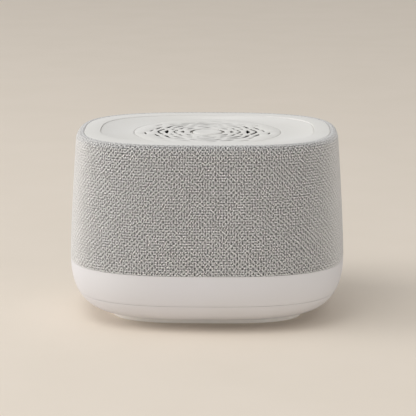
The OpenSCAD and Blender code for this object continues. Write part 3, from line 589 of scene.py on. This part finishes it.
# rim, panel that dips to the dial, and the dial's well
cap = dict(
    rim=8.6,
    drop=2,              # how far the panel lies under the rim beside the dial
    thickness=2.4,
    edge=0.4,            # rounding of the outer edge
    lip=0.12,            # rounding of the rim's inner edge
    draft=0.06,          # lean of the wall between rim and panel
    step=0.35,           # height of that wall
    lineWidth=0.3,       # fine line along its foot
    lineDepth=0.5,
    slope=1.8,           # from there to the dial; 1 is straight, more falls early
    level=0.9,           # level ring round the well
    skirt=7.6,           # from the top to its lower edge
    ledgeWidth=3.9,
    ledgeThickness=2,
    wellEdge=0.08,
    screwInset=11.4,
    boss=3.4,
    pilotIn=0.8,         # how far a screw's hole goes into the panel
    bridge=4.1,          # how far the bridge under it reaches past the well
    tab=4,               # radius of the tabs that carry the bridge
    tabOut=2,            # how far their middles lie outside it
    tabPilotIn=0.6,
)
dial = dict(
    radius=40,
    thickness=2,
    gap=0.25,            # open line between the disc and its well
    glide=0.5,           # room under it for the glide ring
    edge=0.06,           # rounding along every cut of the rosette
    face=0.42,           # thickness of the white face over the black carrier
    rim=1.4,             # white rim that clasps the carrier
    clasp=0.2,           # how far that rim runs up into the face
    carrierEdge=0.04,
    bore=0.4,            # gap round the post
    petals=8,
    stroke=2.5,
    hubWall=2.4,
    hubIn=0.5,           # how far the hub runs up into the carrier
    hubUp=0.8,           # how far it ends above the arms
    hooks=6,
    hookPlay=0.4,
    hookWall=1,
    hookUp=0.5,          # how far a hook ends above the arms
    hookIn=0.2,          # how far it runs up into the carrier
    hookSweep=14,        # in degrees
    barb=1.5,
    barbToe=(0.5, 0.8),  # where its slope starts, and the height of that slope
    barbPlay=0.3,
)
panelTop = body["height"] - cap["drop"]
dialUnder = panelTop - dial["thickness"]
ledgeTop = dialUnder - dial["glide"]
bridgeTop = ledgeTop - cap["ledgeThickness"]
capUnder = body["height"] - cap["skirt"]
capInset = bodyInset(rollHeight) + lipIn + sleeve["grooveWidth"]
wellRadius = dial["radius"] + dial["gap"]
openingRadius = dial["radius"] - cap["ledgeWidth"]
screws = dict(thread=1.5, small=1.1, head=2.85, clearance=0.05, play=0.3, grip=8)
pilot = screws["thread"] + screws["clearance"]
smallPilot = screws["small"] + screws["clearance"]
looseHole = screws["thread"] + screws["play"]


def dishRings(outside, inside):
    # rings from the rim's foot in to the dial, down a slope that ends level
    rings = []
    for share in np.linspace(0, 1, 9)[1:]:
        ring = outside + (inside - outside) * share
        fall = 1 - (1 - share) ** cap["slope"]
        ring[:, 2] = outside[:, 2] + (inside[:, 2] - outside[:, 2]) * fall
        rings.append(ring)
    return rings


def tabPlaces():
    return [polar(wellRadius + cap["bridge"] + cap["tabOut"], turn) for turn in diagonals]


def makeCap():
    top, edge, lip = body["height"], cap["edge"], cap["lip"]
    panelInset, thick = capInset + cap["rim"], cap["thickness"]
    panelUnder = panelTop - thick
    angles = evenAngles(planColumns)[0]
    outside = [(capInset, capUnder)] + arc((capInset + edge, top - edge), -edge, 0, -90, 6)
    inner = [(panelInset - lip, top)] + arc((panelInset - lip, top - lip), lip, 75, 15, 4)
    wallIn, dishTop = panelInset + cap["draft"], top - cap["step"]
    lineIn, lineUnder = wallIn + cap["lineWidth"], dishTop - cap["lineDepth"]
    low = [(wallIn, lineUnder), (lineIn, lineUnder), (lineIn, dishTop)]
    rings = [planRing(angles, inset, z) for inset, z in outside + inner + low]
    rings += dishRings(rings[-1], circleRing(angles, wellRadius + cap["level"], panelTop))
    well, soft = wellRadius, cap["wellEdge"]
    rings += [circleRing(angles, radius, z) for radius, z in [
        (well + soft, panelTop), (well + soft * softShare, panelTop - soft * softShare),
        (well, panelTop - soft), (well, ledgeTop), (openingRadius, ledgeTop),
        (openingRadius, bridgeTop), (well + thick, bridgeTop), (well + thick, panelUnder)]]
    rimBack, skirtIn = panelInset - body["wall"], capInset + body["wall"]
    under = [(rimBack + sliver, panelUnder), (rimBack, top - thick), (skirtIn, top - thick),
             (skirtIn, capUnder)]
    rings += [planRing(angles, inset, z) for inset, z in under]
    piece = loft("topCap", rings)
    corners = cornerPlaces(cap["screwInset"])
    bosses = rods(cap["boss"], capUnder, panelUnder + past, corners)
    bosses += rods(cap["tab"], bridgeTop, panelUnder + past, tabPlaces())
    shape(piece, "UNION", bosses)
    holes = rods(pilot, capUnder - past, panelUnder + cap["pilotIn"], corners)
    holes += rods(smallPilot, bridgeTop - past, panelUnder + cap["tabPilotIn"], tabPlaces())
    return shape(piece, "DIFFERENCE", holes)


# shell, tray and foot
belly = dict(
    clothGap=0.2,        # under the cloth's lower edge
    brim=[(0, 0.1), (0.06, 0.16), (1.1, 0.16), (1.2, 0)],   # edge under the cloth: inset, rise
    deck=2.4,
    deckIn=0.6,          # how far the deck runs into the wall
    lip=2.6,
    lipWall=1.2,
    lipRoot=3,           # how far the lip starts under the seam
    fit=0.15,
    pillar=4.2,
    pillarInset=8,       # from the foot's edge
    frameScrewInset=9.5,
    edge=0.1,            # softened edges along the seam
    board=21,            # top side of the main board
    boardPost=3,
    boardScrews=[(x, y) for x in (-22, 22) for y in (-16, 49)],
    ribbonPlace=44.5,
    ribbonSlot=(6, 1.2),     # half its width and depth
    leadTurn=125,        # where the speaker's leads pass, in degrees round the middle
    leadRadius=25.4,
    leadHole=4,
)
inlet = dict(width=8.94, height=3.26, recess=4.4, depth=1.0, flare=0.6, reach=4)
pad = dict(
    thickness=2.2,
    grooves=3,
    firstGroove=4,       # from the edge
    grooveWidth=1.6,
    grooveDepth=0.7,
    groovePitch=3,       # in widths of a groove
    side=[(1.0, 0), (0.6, 0.1), (0.35, 0.3), (0.2, 0.7), (0.1, 1.2)],
)
deckTop = sleeve["lowEdge"] - belly["clothGap"]
lipTop = body["seam"] + belly["lip"]


def softened(point, edge, side):
    # small rounding where a wall ends at a seam; side is 1 at an upper edge and -1 at a lower
    inset, z = point
    return [(inset, z - side * edge), (inset + edge * softShare, z - side * edge * softShare),
            (inset + edge, z)]


def bellyShellProfile():
    low, edge = body["seam"] + body["seamGap"] / 2, belly["edge"]
    start = softened(bellyAt(low, 0), edge, -1)[::-1][:2]
    outer = bellyBand(low + edge, deckTop, 0, 36)
    inner = bellyBand(low, deckTop, body["wall"], 12)[::-1]
    brim = [(outer[-1][0] + inset, deckTop + rise) for inset, rise in belly["brim"]]
    return start + outer + brim + inner


def makeBellyShell():
    deckUnder, board = deckTop - belly["deck"], belly["board"]
    through = deckUnder - past, deckTop + past
    piece = planLoft("bellyShell", bellyShellProfile())
    deckInset = bellyAt(deckUnder, body["wall"])[0] - belly["deckIn"]
    deck = planLoft("tool", [(deckInset, deckUnder), (deckInset, deckTop)], closed=False)
    pillars = cornerPlaces(belly["pillarInset"], foot)
    bosses = rods(belly["pillar"], lipTop, deckTop - past, pillars)
    bosses += rods(belly["boardPost"], board, deckTop - past, belly["boardScrews"])
    shape(piece, "UNION", [deck] + bosses)
    holes = rods(pilot, lipTop - past, lipTop + screws["grip"], pillars)
    holes += rods(smallPilot, board - past, board + screws["grip"], belly["boardScrews"])
    holes += rods(looseHole, *through, cornerPlaces(belly["frameScrewInset"]))
    leadPlace = polar(belly["leadRadius"], belly["leadTurn"])
    holes.append(rod(belly["leadHole"], *through, leadPlace))
    wide, deep = belly["ribbonSlot"]
    slot = np.array([(-wide, -deep), (wide, -deep), (wide, deep), (-wide, deep)])
    slot = slot + (0, belly["ribbonPlace"])
    holes.append(loft("tool", [atHeight(slot, z) for z in through], closed=False))
    return shape(piece, "DIFFERENCE", holes + inletCuts())


def stadium(width, height, near, far, centreZ, columns=20, flare=0):
    # rounded slot along Y, from near to far; flare widens its far end
    rings = []
    for y, grow in [(near, 0), (far, flare)]:
        radius = height / 2 + grow
        ends = []
        for side in (1, -1):
            turn = np.linspace(-math.pi / 2, math.pi / 2, columns)
            x = side * ((width - height) / 2 + radius * np.cos(turn))
            z = side * radius * np.sin(turn)
            ends.append(np.column_stack([x, np.full(columns, y), centreZ + z]))
        rings.append(np.concatenate(ends))
    return loft("tool", rings, closed=False)


def inletCuts():
    # a recess in the wall, and in its face the mouth of the socket
    width, height, play = inlet["width"], inlet["height"], screws["play"]
    centreZ, back = belly["board"] + height / 2, body["depth"] / 2
    face = back - bellyAt(centreZ, 0)[0] - inlet["depth"]
    recess = stadium(width + inlet["recess"], height + inlet["recess"], face, back + past,
                     centreZ, flare=inlet["flare"])
    mouth = stadium(width + play, height + play, face - inlet["reach"], face + past, centreZ)
    return [recess, mouth]


def makeBellyTray():
    top, low = body["seam"] - body["seamGap"] / 2, body["footHeight"]
    wall, footFloor = body["wall"], pad["thickness"]
    outer = bellyBand(low, top - belly["edge"], 0, 40)
    end = softened(bellyAt(top, 0), belly["edge"], 1)[1:]
    piece = planLoft("bellyTray", outer + end, closed=False)
    step = planLoft("tool", [(0, footFloor), (0, low + wall)], plan=foot, closed=False)
    shape(piece, "UNION", [step])
    hollow = bellyBand(low + wall, top - past, wall, 16)
    hollow.append((bellyAt(top - past, wall)[0], top + past))
    footHollow = [(wall, footFloor + wall), (wall, low + wall + past)]
    cuts = [planLoft("tool", hollow, closed=False),
            planLoft("tool", footHollow, plan=foot, closed=False)]
    shape(piece, "DIFFERENCE", cuts)
    lipOut, lipLow = bellyAt(body["seam"], wall)[0] + belly["fit"], top - belly["lipRoot"]
    lipBack = lipOut + belly["lipWall"]
    lip = planLoft("tool", [(lipOut, lipLow), (lipOut, lipTop), (lipBack, lipTop),
                            (lipBack, lipLow)])
    pillars = cornerPlaces(belly["pillarInset"], foot)
    shape(piece, "UNION", [lip] + rods(belly["pillar"], footFloor, lipTop, pillars))
    headZ = lipTop - screws["grip"]
    bores = rods(screws["head"] + screws["play"], footFloor - past, headZ, pillars)
    bores += rods(looseHole, headZ - past, lipTop + past, pillars)
    return shape(piece, "DIFFERENCE", bores)


def makeFootPad():
    groove, wide = pad["grooveDepth"], pad["grooveWidth"]
    side = pad["side"] + [(pad["side"][-1][0], pad["thickness"])]
    piece = planLoft("footPad", side, plan=foot, closed=False)
    rings = []
    for i in range(pad["grooves"]):
        start = pad["firstGroove"] + pad["groovePitch"] * i * wide
        end = start + wide
        rings.append(planLoft("tool", [(start, -past), (start, groove), (end, groove),
                                       (end, -past)], plan=foot))
    return shape(piece, "DIFFERENCE", rings)


# the turning disc with its rosette, and the button in its middle
button = dict(
    postRadius=9.2,
    postWall=1,
    gap=0.3,
    proud=0.1,           # how far its edge stands above the panel
    edge=0.6,
    dishRadius=5.4,
    dishDepth=0.25,
    thickness=2.6,       # from the top to the under side over the spring
    springRoom=0.8,
    wall=1,
    skirt=1,
    stem=3,
    collar=0.6,          # how far the collar at the stem's end stands out
    collarIn=0.5,
    collarHeight=0.8,
    stemDown=0.9,        # how far the stem ends below the top of the arms
    armDrop=2,           # top of the post's arms, below the bridge's ring
    hubPlay=0.08,
)
armTop = bridgeTop - button["armDrop"]
hookRadius = openingRadius - dial["hookPlay"]


def lens(radius, width, halfWidth, bow=1.6):
    # across the petal, pointed at both ends and three times fuller on its outer side
    outer, inner = [], []
    for share in np.linspace(-1, 1, 33):
        bulge = width * (1 - abs(share) ** bow)
        outer.append(np.array([radius + 0.75 * bulge, halfWidth * share]))
        inner.append(np.array([radius - 0.25 * bulge, halfWidth * share]))
    return outer + inner[-2:0:-1]


def stroke(tip, shoulder, half, tipWidth, armWidth, bow, ends=0.25):
    # bowed: the tip points outwards, both arms swell and end round
    outer, inner = [], []
    for share in np.linspace(-1, 1, 37):
        far = abs(share)
        radius = tip - (tip - shoulder) * far ** bow
        width = armWidth * math.sqrt(max(1 - far, 0) / ends)
        if far < 1 - ends:
            width = tipWidth + (armWidth - tipWidth) * far / (1 - ends)
        outer.append(polar(radius, half * share))
        inner.append(polar(radius - width, 0.97 * half * share))
    return outer + inner[::-1]


def leaf(start, end, width):
    # slim leaf that bends with the circle, between two places of radius and degrees
    if start[1] > end[1]:
        start, end = end, start      # every outline has to run the same way round
    upper, lower = [], []
    for share in np.linspace(0, 1, 13):
        radius = start[0] + (end[0] - start[0]) * share
        turn = start[1] + (end[1] - start[1]) * share
        half = width / 2 * math.sin(share * math.pi) ** 0.5
        upper.append(polar(radius + half, turn))
        lower.append(polar(radius - half, turn))
    return upper + lower[-2:0:-1]


def rosetteCuts():
    # radii are shares of the dial's, widths of the stroke's and angles of the petal's
    size, wide, pitch = dial["radius"], dial["stroke"], 360 / dial["petals"]
    petal = [
        lens(0.324 * size, 0.96 * wide, 1.28 * wide),
        stroke(0.47 * size, 0.44 * size, 0.46 * pitch, 0.38 * wide, 0.64 * wide, 0.9),
        leaf((0.5125 * size, 0.365 * pitch), (0.5125 * size, 0.635 * pitch), 0.56 * wide),
        lens(0.544 * size, 0.92 * wide, 2.4 * wide),
        stroke(0.6875 * size, 0.64 * size, 0.467 * pitch, 0.48 * wide, 0.8 * wide, 1.4),
        leaf((0.73 * size, 0.3 * pitch), (0.73 * size, 0.7 * pitch), 0.68 * wide),
    ]
    cuts = []
    for i in range(dial["petals"]):
        turn = math.radians(i * pitch)
        spin = np.array([[math.cos(turn), math.sin(turn)], [-math.sin(turn), math.cos(turn)]])
        # the outermost marks of the left half mirror those of the right half
        hand = pitch if math.cos(turn) > -0.01 else -pitch
        marks = [
            leaf((0.78 * size, 0.01 * hand), (0.76 * size, 0.255 * hand), 0.48 * wide),
            leaf((0.855 * size, -0.055 * hand), (0.8475 * size, -0.31 * hand), 0.44 * wide),
        ]
        cuts += [np.array(outline) @ spin for outline in petal + marks]
    return cuts


def shifted(outline, distance):
    # moves an outline to its left, mitred at the corners
    ahead = np.roll(outline, -1, axis=0) - outline
    ahead /= np.linalg.norm(ahead, axis=1)[:, None]
    both = ahead + np.roll(ahead, 1, axis=0)
    left = np.column_stack([-both[:, 1], both[:, 0]])
    return outline + left * 2 * distance / np.maximum((both ** 2).sum(axis=1), 0.5)[:, None]


def roundedPlate(name, outlines, low, high, edge):
    # the first outline is the outside and the rest are holes; every edge is rounded
    soft = softShare * edge
    levels = [(low, edge), (low + soft, soft), (low + edge, 0),
              (high - edge, 0), (high - soft, soft), (high, edge)]
    rings = []
    for z, inset in levels:
        lines = [shifted(outlines[0], inset)] + [shifted(line, -inset) for line in outlines[1:]]
        rings.append(atHeight(np.concatenate(lines), z))
    edges, areas, count = [], [], 0
    for line in outlines:
        ids = list(range(count, count + len(line)))
        areas.append(ids)
        edges += zip(ids, ids[1:] + ids[:1])
        count += len(line)
    flat = [Vector(point[:2]) for point in rings[-1]]
    _, _, triangles, _, _, owners = delaunay_2d_cdt(flat, edges, areas, 1, 1e-6)
    solid = [face for face, owner in zip(triangles, owners) if owner == [0]]
    last = count * (len(levels) - 1)
    faces = [tuple(reversed(face)) for face in solid]
    faces += [tuple(last + i for i in face) for face in solid]
    for under in range(0, last, count):
        faces += [(under + a, under + b, under + count + b, under + count + a) for a, b in edges]
    return newPiece(name, np.concatenate(rings), faces)


def pierced(name, radius, low, high, edge):
    bore = button["postRadius"] + dial["bore"]
    outlines = [circleOutline(radius, 240), circleOutline(bore, 120)] + rosetteCuts()
    return roundedPlate(name, outlines, low, high, edge)


def makeDialFace():
    size, faceUnder = dial["radius"], panelTop - dial["face"]
    piece = pierced("rosetteDial", size, faceUnder, panelTop, dial["edge"])
    rim = tube(size - 2 * sliver, size - dial["rim"], dialUnder, faceUnder + dial["clasp"], 240)
    return shape(piece, "UNION", [rim])


def makeDialCarrier():
    radius, post = dial["radius"] - dial["rim"] - belly["fit"], button["postRadius"]
    piece = pierced("dialCarrier", radius, dialUnder, panelTop - dial["face"],
                    dial["carrierEdge"])
    hub = tube(post + dial["hubWall"], post + button["hubPlay"], armTop + dial["hubUp"],
               dialUnder + dial["hubIn"])
    return shape(piece, "UNION", [hub] + [hook(i) for i in range(dial["hooks"])])


def hook(i):
    back, tip = hookRadius - dial["hookWall"], hookRadius + dial["barb"]
    low, high = armTop + dial["hookUp"], dialUnder + dial["hookIn"]
    barbTop, (toe, slope) = bridgeTop - dial["barbPlay"], dial["barbToe"]
    profile = [(back, low), (hookRadius + toe, low), (tip, low + slope), (tip, barbTop),
               (hookRadius, barbTop), (hookRadius, high), (back, high)]
    start, rings = 360 * i / dial["hooks"] - dial["hookSweep"] / 2, []
    for step in range(7):
        way = polar(1, start + dial["hookSweep"] * step / 6)
        rings.append(np.array([(*(way * radius), z) for radius, z in profile]))
    return loft("tool", rings, closed=False)


def makeButton():
    radius = button["postRadius"] - button["postWall"] - button["gap"]
    top, edge, stem = panelTop + button["proud"], button["edge"], button["stem"]
    under = top - button["thickness"]
    ceiling, skirtEnd = under + button["springRoom"], under - button["skirt"]
    middle = 2 * sliver          # the profile stops just short of the axis
    dish = []
    for i in range(13):
        share = 1 - i / 12
        drop = button["dishDepth"] * (1 - share ** 2) ** 2
        dish.append((max(button["dishRadius"] * share, middle), top - drop))
    stemEnd, innerRadius = armTop - button["stemDown"], radius - button["wall"]
    profile = [(middle, stemEnd), (stem, stemEnd), (stem, ceiling), (innerRadius, ceiling),
               (innerRadius, skirtEnd), (radius, skirtEnd)]
    profile += arc((radius - edge, top - edge), edge, 0, 90, 6)
    piece = lathe("powerButton", profile + dish, 128, closed=False)
    collar = tube(stem + button["collar"], stem - button["collarIn"], stemEnd,
                  stemEnd + button["collarHeight"])
    return shape(piece, "UNION", [collar], creaseAngle=40)


# one finish for each material slot
finishes = {
    "shell_white": mouldedPlastic(
        "shellWhite", colour=(217, 215, 217), second=(215, 213, 214), grain=0.32, depth=0.012,
        roughness=0.55, shine=0.3),
    "cap_white": mouldedPlastic(
        "capWhite", colour=(233, 231, 227), second=(231, 229, 224), grain=0.28, depth=0.01,
        roughness=0.62, shine=0.2),
    "acetal_white": mouldedPlastic(
        "acetalWhite", colour=(226, 224, 219), second=(220, 217, 210), grain=0.5, depth=0.006,
        roughness=0.38, shine=0.5),
    "black_plastic": mouldedPlastic(
        "blackPlastic", colour=(18, 18, 19), second=(24, 24, 24), grain=0.4, depth=0.02,
        roughness=0.6, shine=0.2),
    "ribbon_film": mouldedPlastic(
        "ribbonFilm", colour=(226, 224, 214), second=(214, 210, 196), grain=0.6, depth=0.004,
        roughness=0.35, shine=0.5),
    # knit: its near-black first colour is the painted shade inside the holes, and also the dark
    # end of the fibre tones
    "knit_fabric": knit(
        "knitFabric", colour=(12, 12, 13), second=(246, 245, 243), threadWidth=0.44, sway=0.2,
        swaySize=4.5, jitter=0.08, jitterSize=1.6, upper=0.72, lower=0.66, swing=0.28,
        holeStart=0.02, holeEdge=0.38, shallow=0.9, holeDepth=1.1, level=0.43, contrast=1.5,
        fibre=2.3, rows=0.065, columnShare=0.9, lean=0.055, leanTurn=58, roughness=0.86,
        fluff=0.3, depth=0.3, sheen=1.0, sheenRoughness=0.3,
        # painted sheen where the cloth is seen edge on
        nap=dict(colour=(246, 243, 240), start=0.1, end=0.8, most=0.34)),
    "foot_rubber": rubber(
        "footRubber", colour=(236, 231, 224), second=(239, 235, 229), pores=0.4, depth=0.02,
        roughness=0.75),
    "black_rubber": rubber(
        "blackRubber", colour=(30, 30, 31), second=(44, 43, 42), pores=0.5, depth=0.02,
        roughness=0.72),
    "screw_steel": metal(
        "screwSteel", colour=(196, 198, 200), second=(168, 168, 166), lines=(1, 1, 6),
        depth=0.006, roughness=0.32, metal=1.0),
    "plated_metal": metal(
        "platedMetal", colour=(206, 204, 198), second=(184, 180, 170), lines=(1, 4, 1),
        depth=0.004, roughness=0.26, metal=1.0),
    "copper": metal(
        "copperWinding", colour=(196, 118, 72), second=(150, 84, 50), lines=(1, 1, 14),
        depth=0.03, roughness=0.34, metal=1.0),
    "black_steel": metal(
        "blackSteel", colour=(36, 36, 38), second=(48, 47, 46), lines=(2, 2, 2), depth=0.01,
        roughness=0.45, metal=0.2),
    "ferrite": pulp(
        "ferrite", colour=(52, 52, 56), second=(70, 69, 70), roughness=0.55, depth=0.05),
    "cone_paper": pulp(
        "conePaper", colour=(34, 33, 33), second=(52, 50, 48), roughness=0.8, depth=0.08),
    "damper_cloth": weave(
        "damperCloth", colour=(186, 150, 84), second=(110, 82, 40), pitch=0.5, open=0.6,
        roughness=0.7, depth=0.08),
    "mesh_black": weave(
        "meshBlack", colour=(48, 48, 50), second=(8, 8, 8), pitch=0.55, open=0.9, roughness=0.75,
        depth=0.08),
    "board_green": circuitBoard(
        "boardGreen", colour=(18, 92, 58), second=(40, 130, 84), trackWidth=0.12,
        trackLength=5.0, trackPitch=1.4, roughness=0.32, depth=0.03),
}
print("finishes made:", len(finishes))

for name, node in frame["nodes"].items():
    slot = next(s["material_slot"] for s in frame["record"]["subparts"] if s["node"] == name)
    node.data.materials.clear()
    node.data.materials.append(finishes[slot])
# the bridge's ring round the button is grey instead of white: painted shade of the groove it
# lies in
frame["nodes"]["dial_bridge"].data.materials[0] = mouldedPlastic(
    "bridgeShadeGrey", colour=(178, 173, 166), second=(172, 167, 160), grain=0.4, depth=0.01,
    roughness=0.5, shine=0.3)
print("frame dressed:", len(frame["nodes"]), "nodes")

dress(makeSleeve(), "housing", "knit_fabric", "fabric_sleeve")
print("sleeve made")
dress(makeCap(), "housing", "cap_white", "top_cap")
print("cap made")
dress(makeBellyShell(), "housing", "shell_white", "base_shell")
dress(makeBellyTray(), "housing", "shell_white", "base_tray")
dress(makeFootPad(), "housing", "foot_rubber", "foot_pad")
print("belly made")
dress(makeDialFace(), "dial", "cap_white", "rosette_dial")
dress(makeDialCarrier(), "dial", "black_plastic", "dial_carrier")
dress(makeButton(), "button", "cap_white", "power_button")
print("dial and button made")


# floor, light and camera
studio = dict(
    floor=(240, 229, 215),
    floorFaded=(0.985, 0.985, 0.98),     # share of the colour where the paper has faded
    floorPatches=60,
    floorSize=6.0,
    skyStrength=0.5,
    skyColour=(255, 255, 255),
)
lamps = dict(            # place and width in metres, and power
    keyLamp=((-2.6, -0.33, 0.86), 1.7, 44.0),
    topLamp=((-0.4, -0.6, 1.35), 0.8, 4.3),
    fillLamp=((0.97, -1.28, 0.15), 0.3, 3.7),
)
camera = dict(
    aim=50,              # height above the floor that it circles, in millimetres
    distance=1000,
    elevation=0.224,     # radians above the aim
    azimuth=0.019,
    pitchOff=-0.007,     # the lens looks this much over the aim
    lens=156.3,
    film=36,
    shift=0.0015,
    near=0.05,
    far=20,
)


def makeStage():
    bpy.ops.mesh.primitive_plane_add(size=studio["floorSize"])
    floor = bpy.context.object
    floor.name = "floor"

    def build(wire):
        grain = wire.noise(wire.places(), studio["floorPatches"], 3).between(0.3, 0.7)
        paper = rgb(*studio["floor"])
        faded = [part * share for part, share in zip(paper, studio["floorFaded"])]
        return {"Base Color": grain.blend(paper, (*faded, 1))}
    paper = newFinish("floorPaper", build, {"Roughness": 0.9, "Specular IOR Level": 0.1})
    floor.data.materials.append(paper)


def makeSky():
    world = bpy.data.worlds.new("studio")
    world.use_nodes = True
    tree = world.node_tree
    tree.nodes.clear()
    wire = Wire(tree)
    rays = wire.node("LightPath")
    direct = wire.math("MAXIMUM", rays.other("Is Camera Ray"), rays.other("Is Glossy Ray"))
    direct = wire.math("MAXIMUM", direct, rays.other("Is Transmission Ray"))
    soft = wire.node("Background", {}, {"Color": rgb(*studio["skyColour"]),
                                        "Strength": studio["skyStrength"]})
    white = wire.node("Background", {}, {"Color": (1, 1, 1, 1), "Strength": 1.0})
    both = wire.node("MixShader", {}, {0: direct, 1: soft, 2: white})
    end = tree.nodes.new("ShaderNodeOutputWorld")
    tree.links.new(both.socket, end.inputs[0])
    bpy.context.scene.world = world


def areaLamp(name, place, size, power):
    lamp = bpy.data.lights.new(name, "AREA")
    lamp.shape = "DISK"
    lamp.size = size
    lamp.energy = power
    holder = bpy.data.objects.new(name, lamp)
    holder.location = place
    aim = Vector((0, 0, camera["aim"] * mm)) - holder.location
    holder.rotation_euler = aim.to_track_quat("-Z", "Y").to_euler()
    bpy.context.scene.collection.objects.link(holder)


def makeCamera():
    optics = bpy.data.cameras.new("camera")
    optics.lens = camera["lens"]
    optics.sensor_width = camera["film"]
    optics.shift_x = camera["shift"]
    optics.clip_start = camera["near"]
    optics.clip_end = camera["far"]
    holder = bpy.data.objects.new("camera", optics)
    away = camera["distance"] * mm * math.cos(camera["elevation"])
    up = (camera["aim"] + camera["distance"] * math.sin(camera["elevation"])) * mm
    holder.location = (away * math.sin(camera["azimuth"]), -away * math.cos(camera["azimuth"]),
                       up)
    tilt = math.pi / 2 - camera["elevation"] - camera["pitchOff"]
    holder.rotation_euler = (tilt, 0, camera["azimuth"])
    bpy.context.scene.collection.objects.link(holder)
    bpy.context.scene.camera = holder


makeStage()
makeSky()
for name, look in lamps.items():
    areaLamp(name, *look)
makeCamera()
bpy.context.scene.view_settings.view_transform = "Standard"
print("stage made")
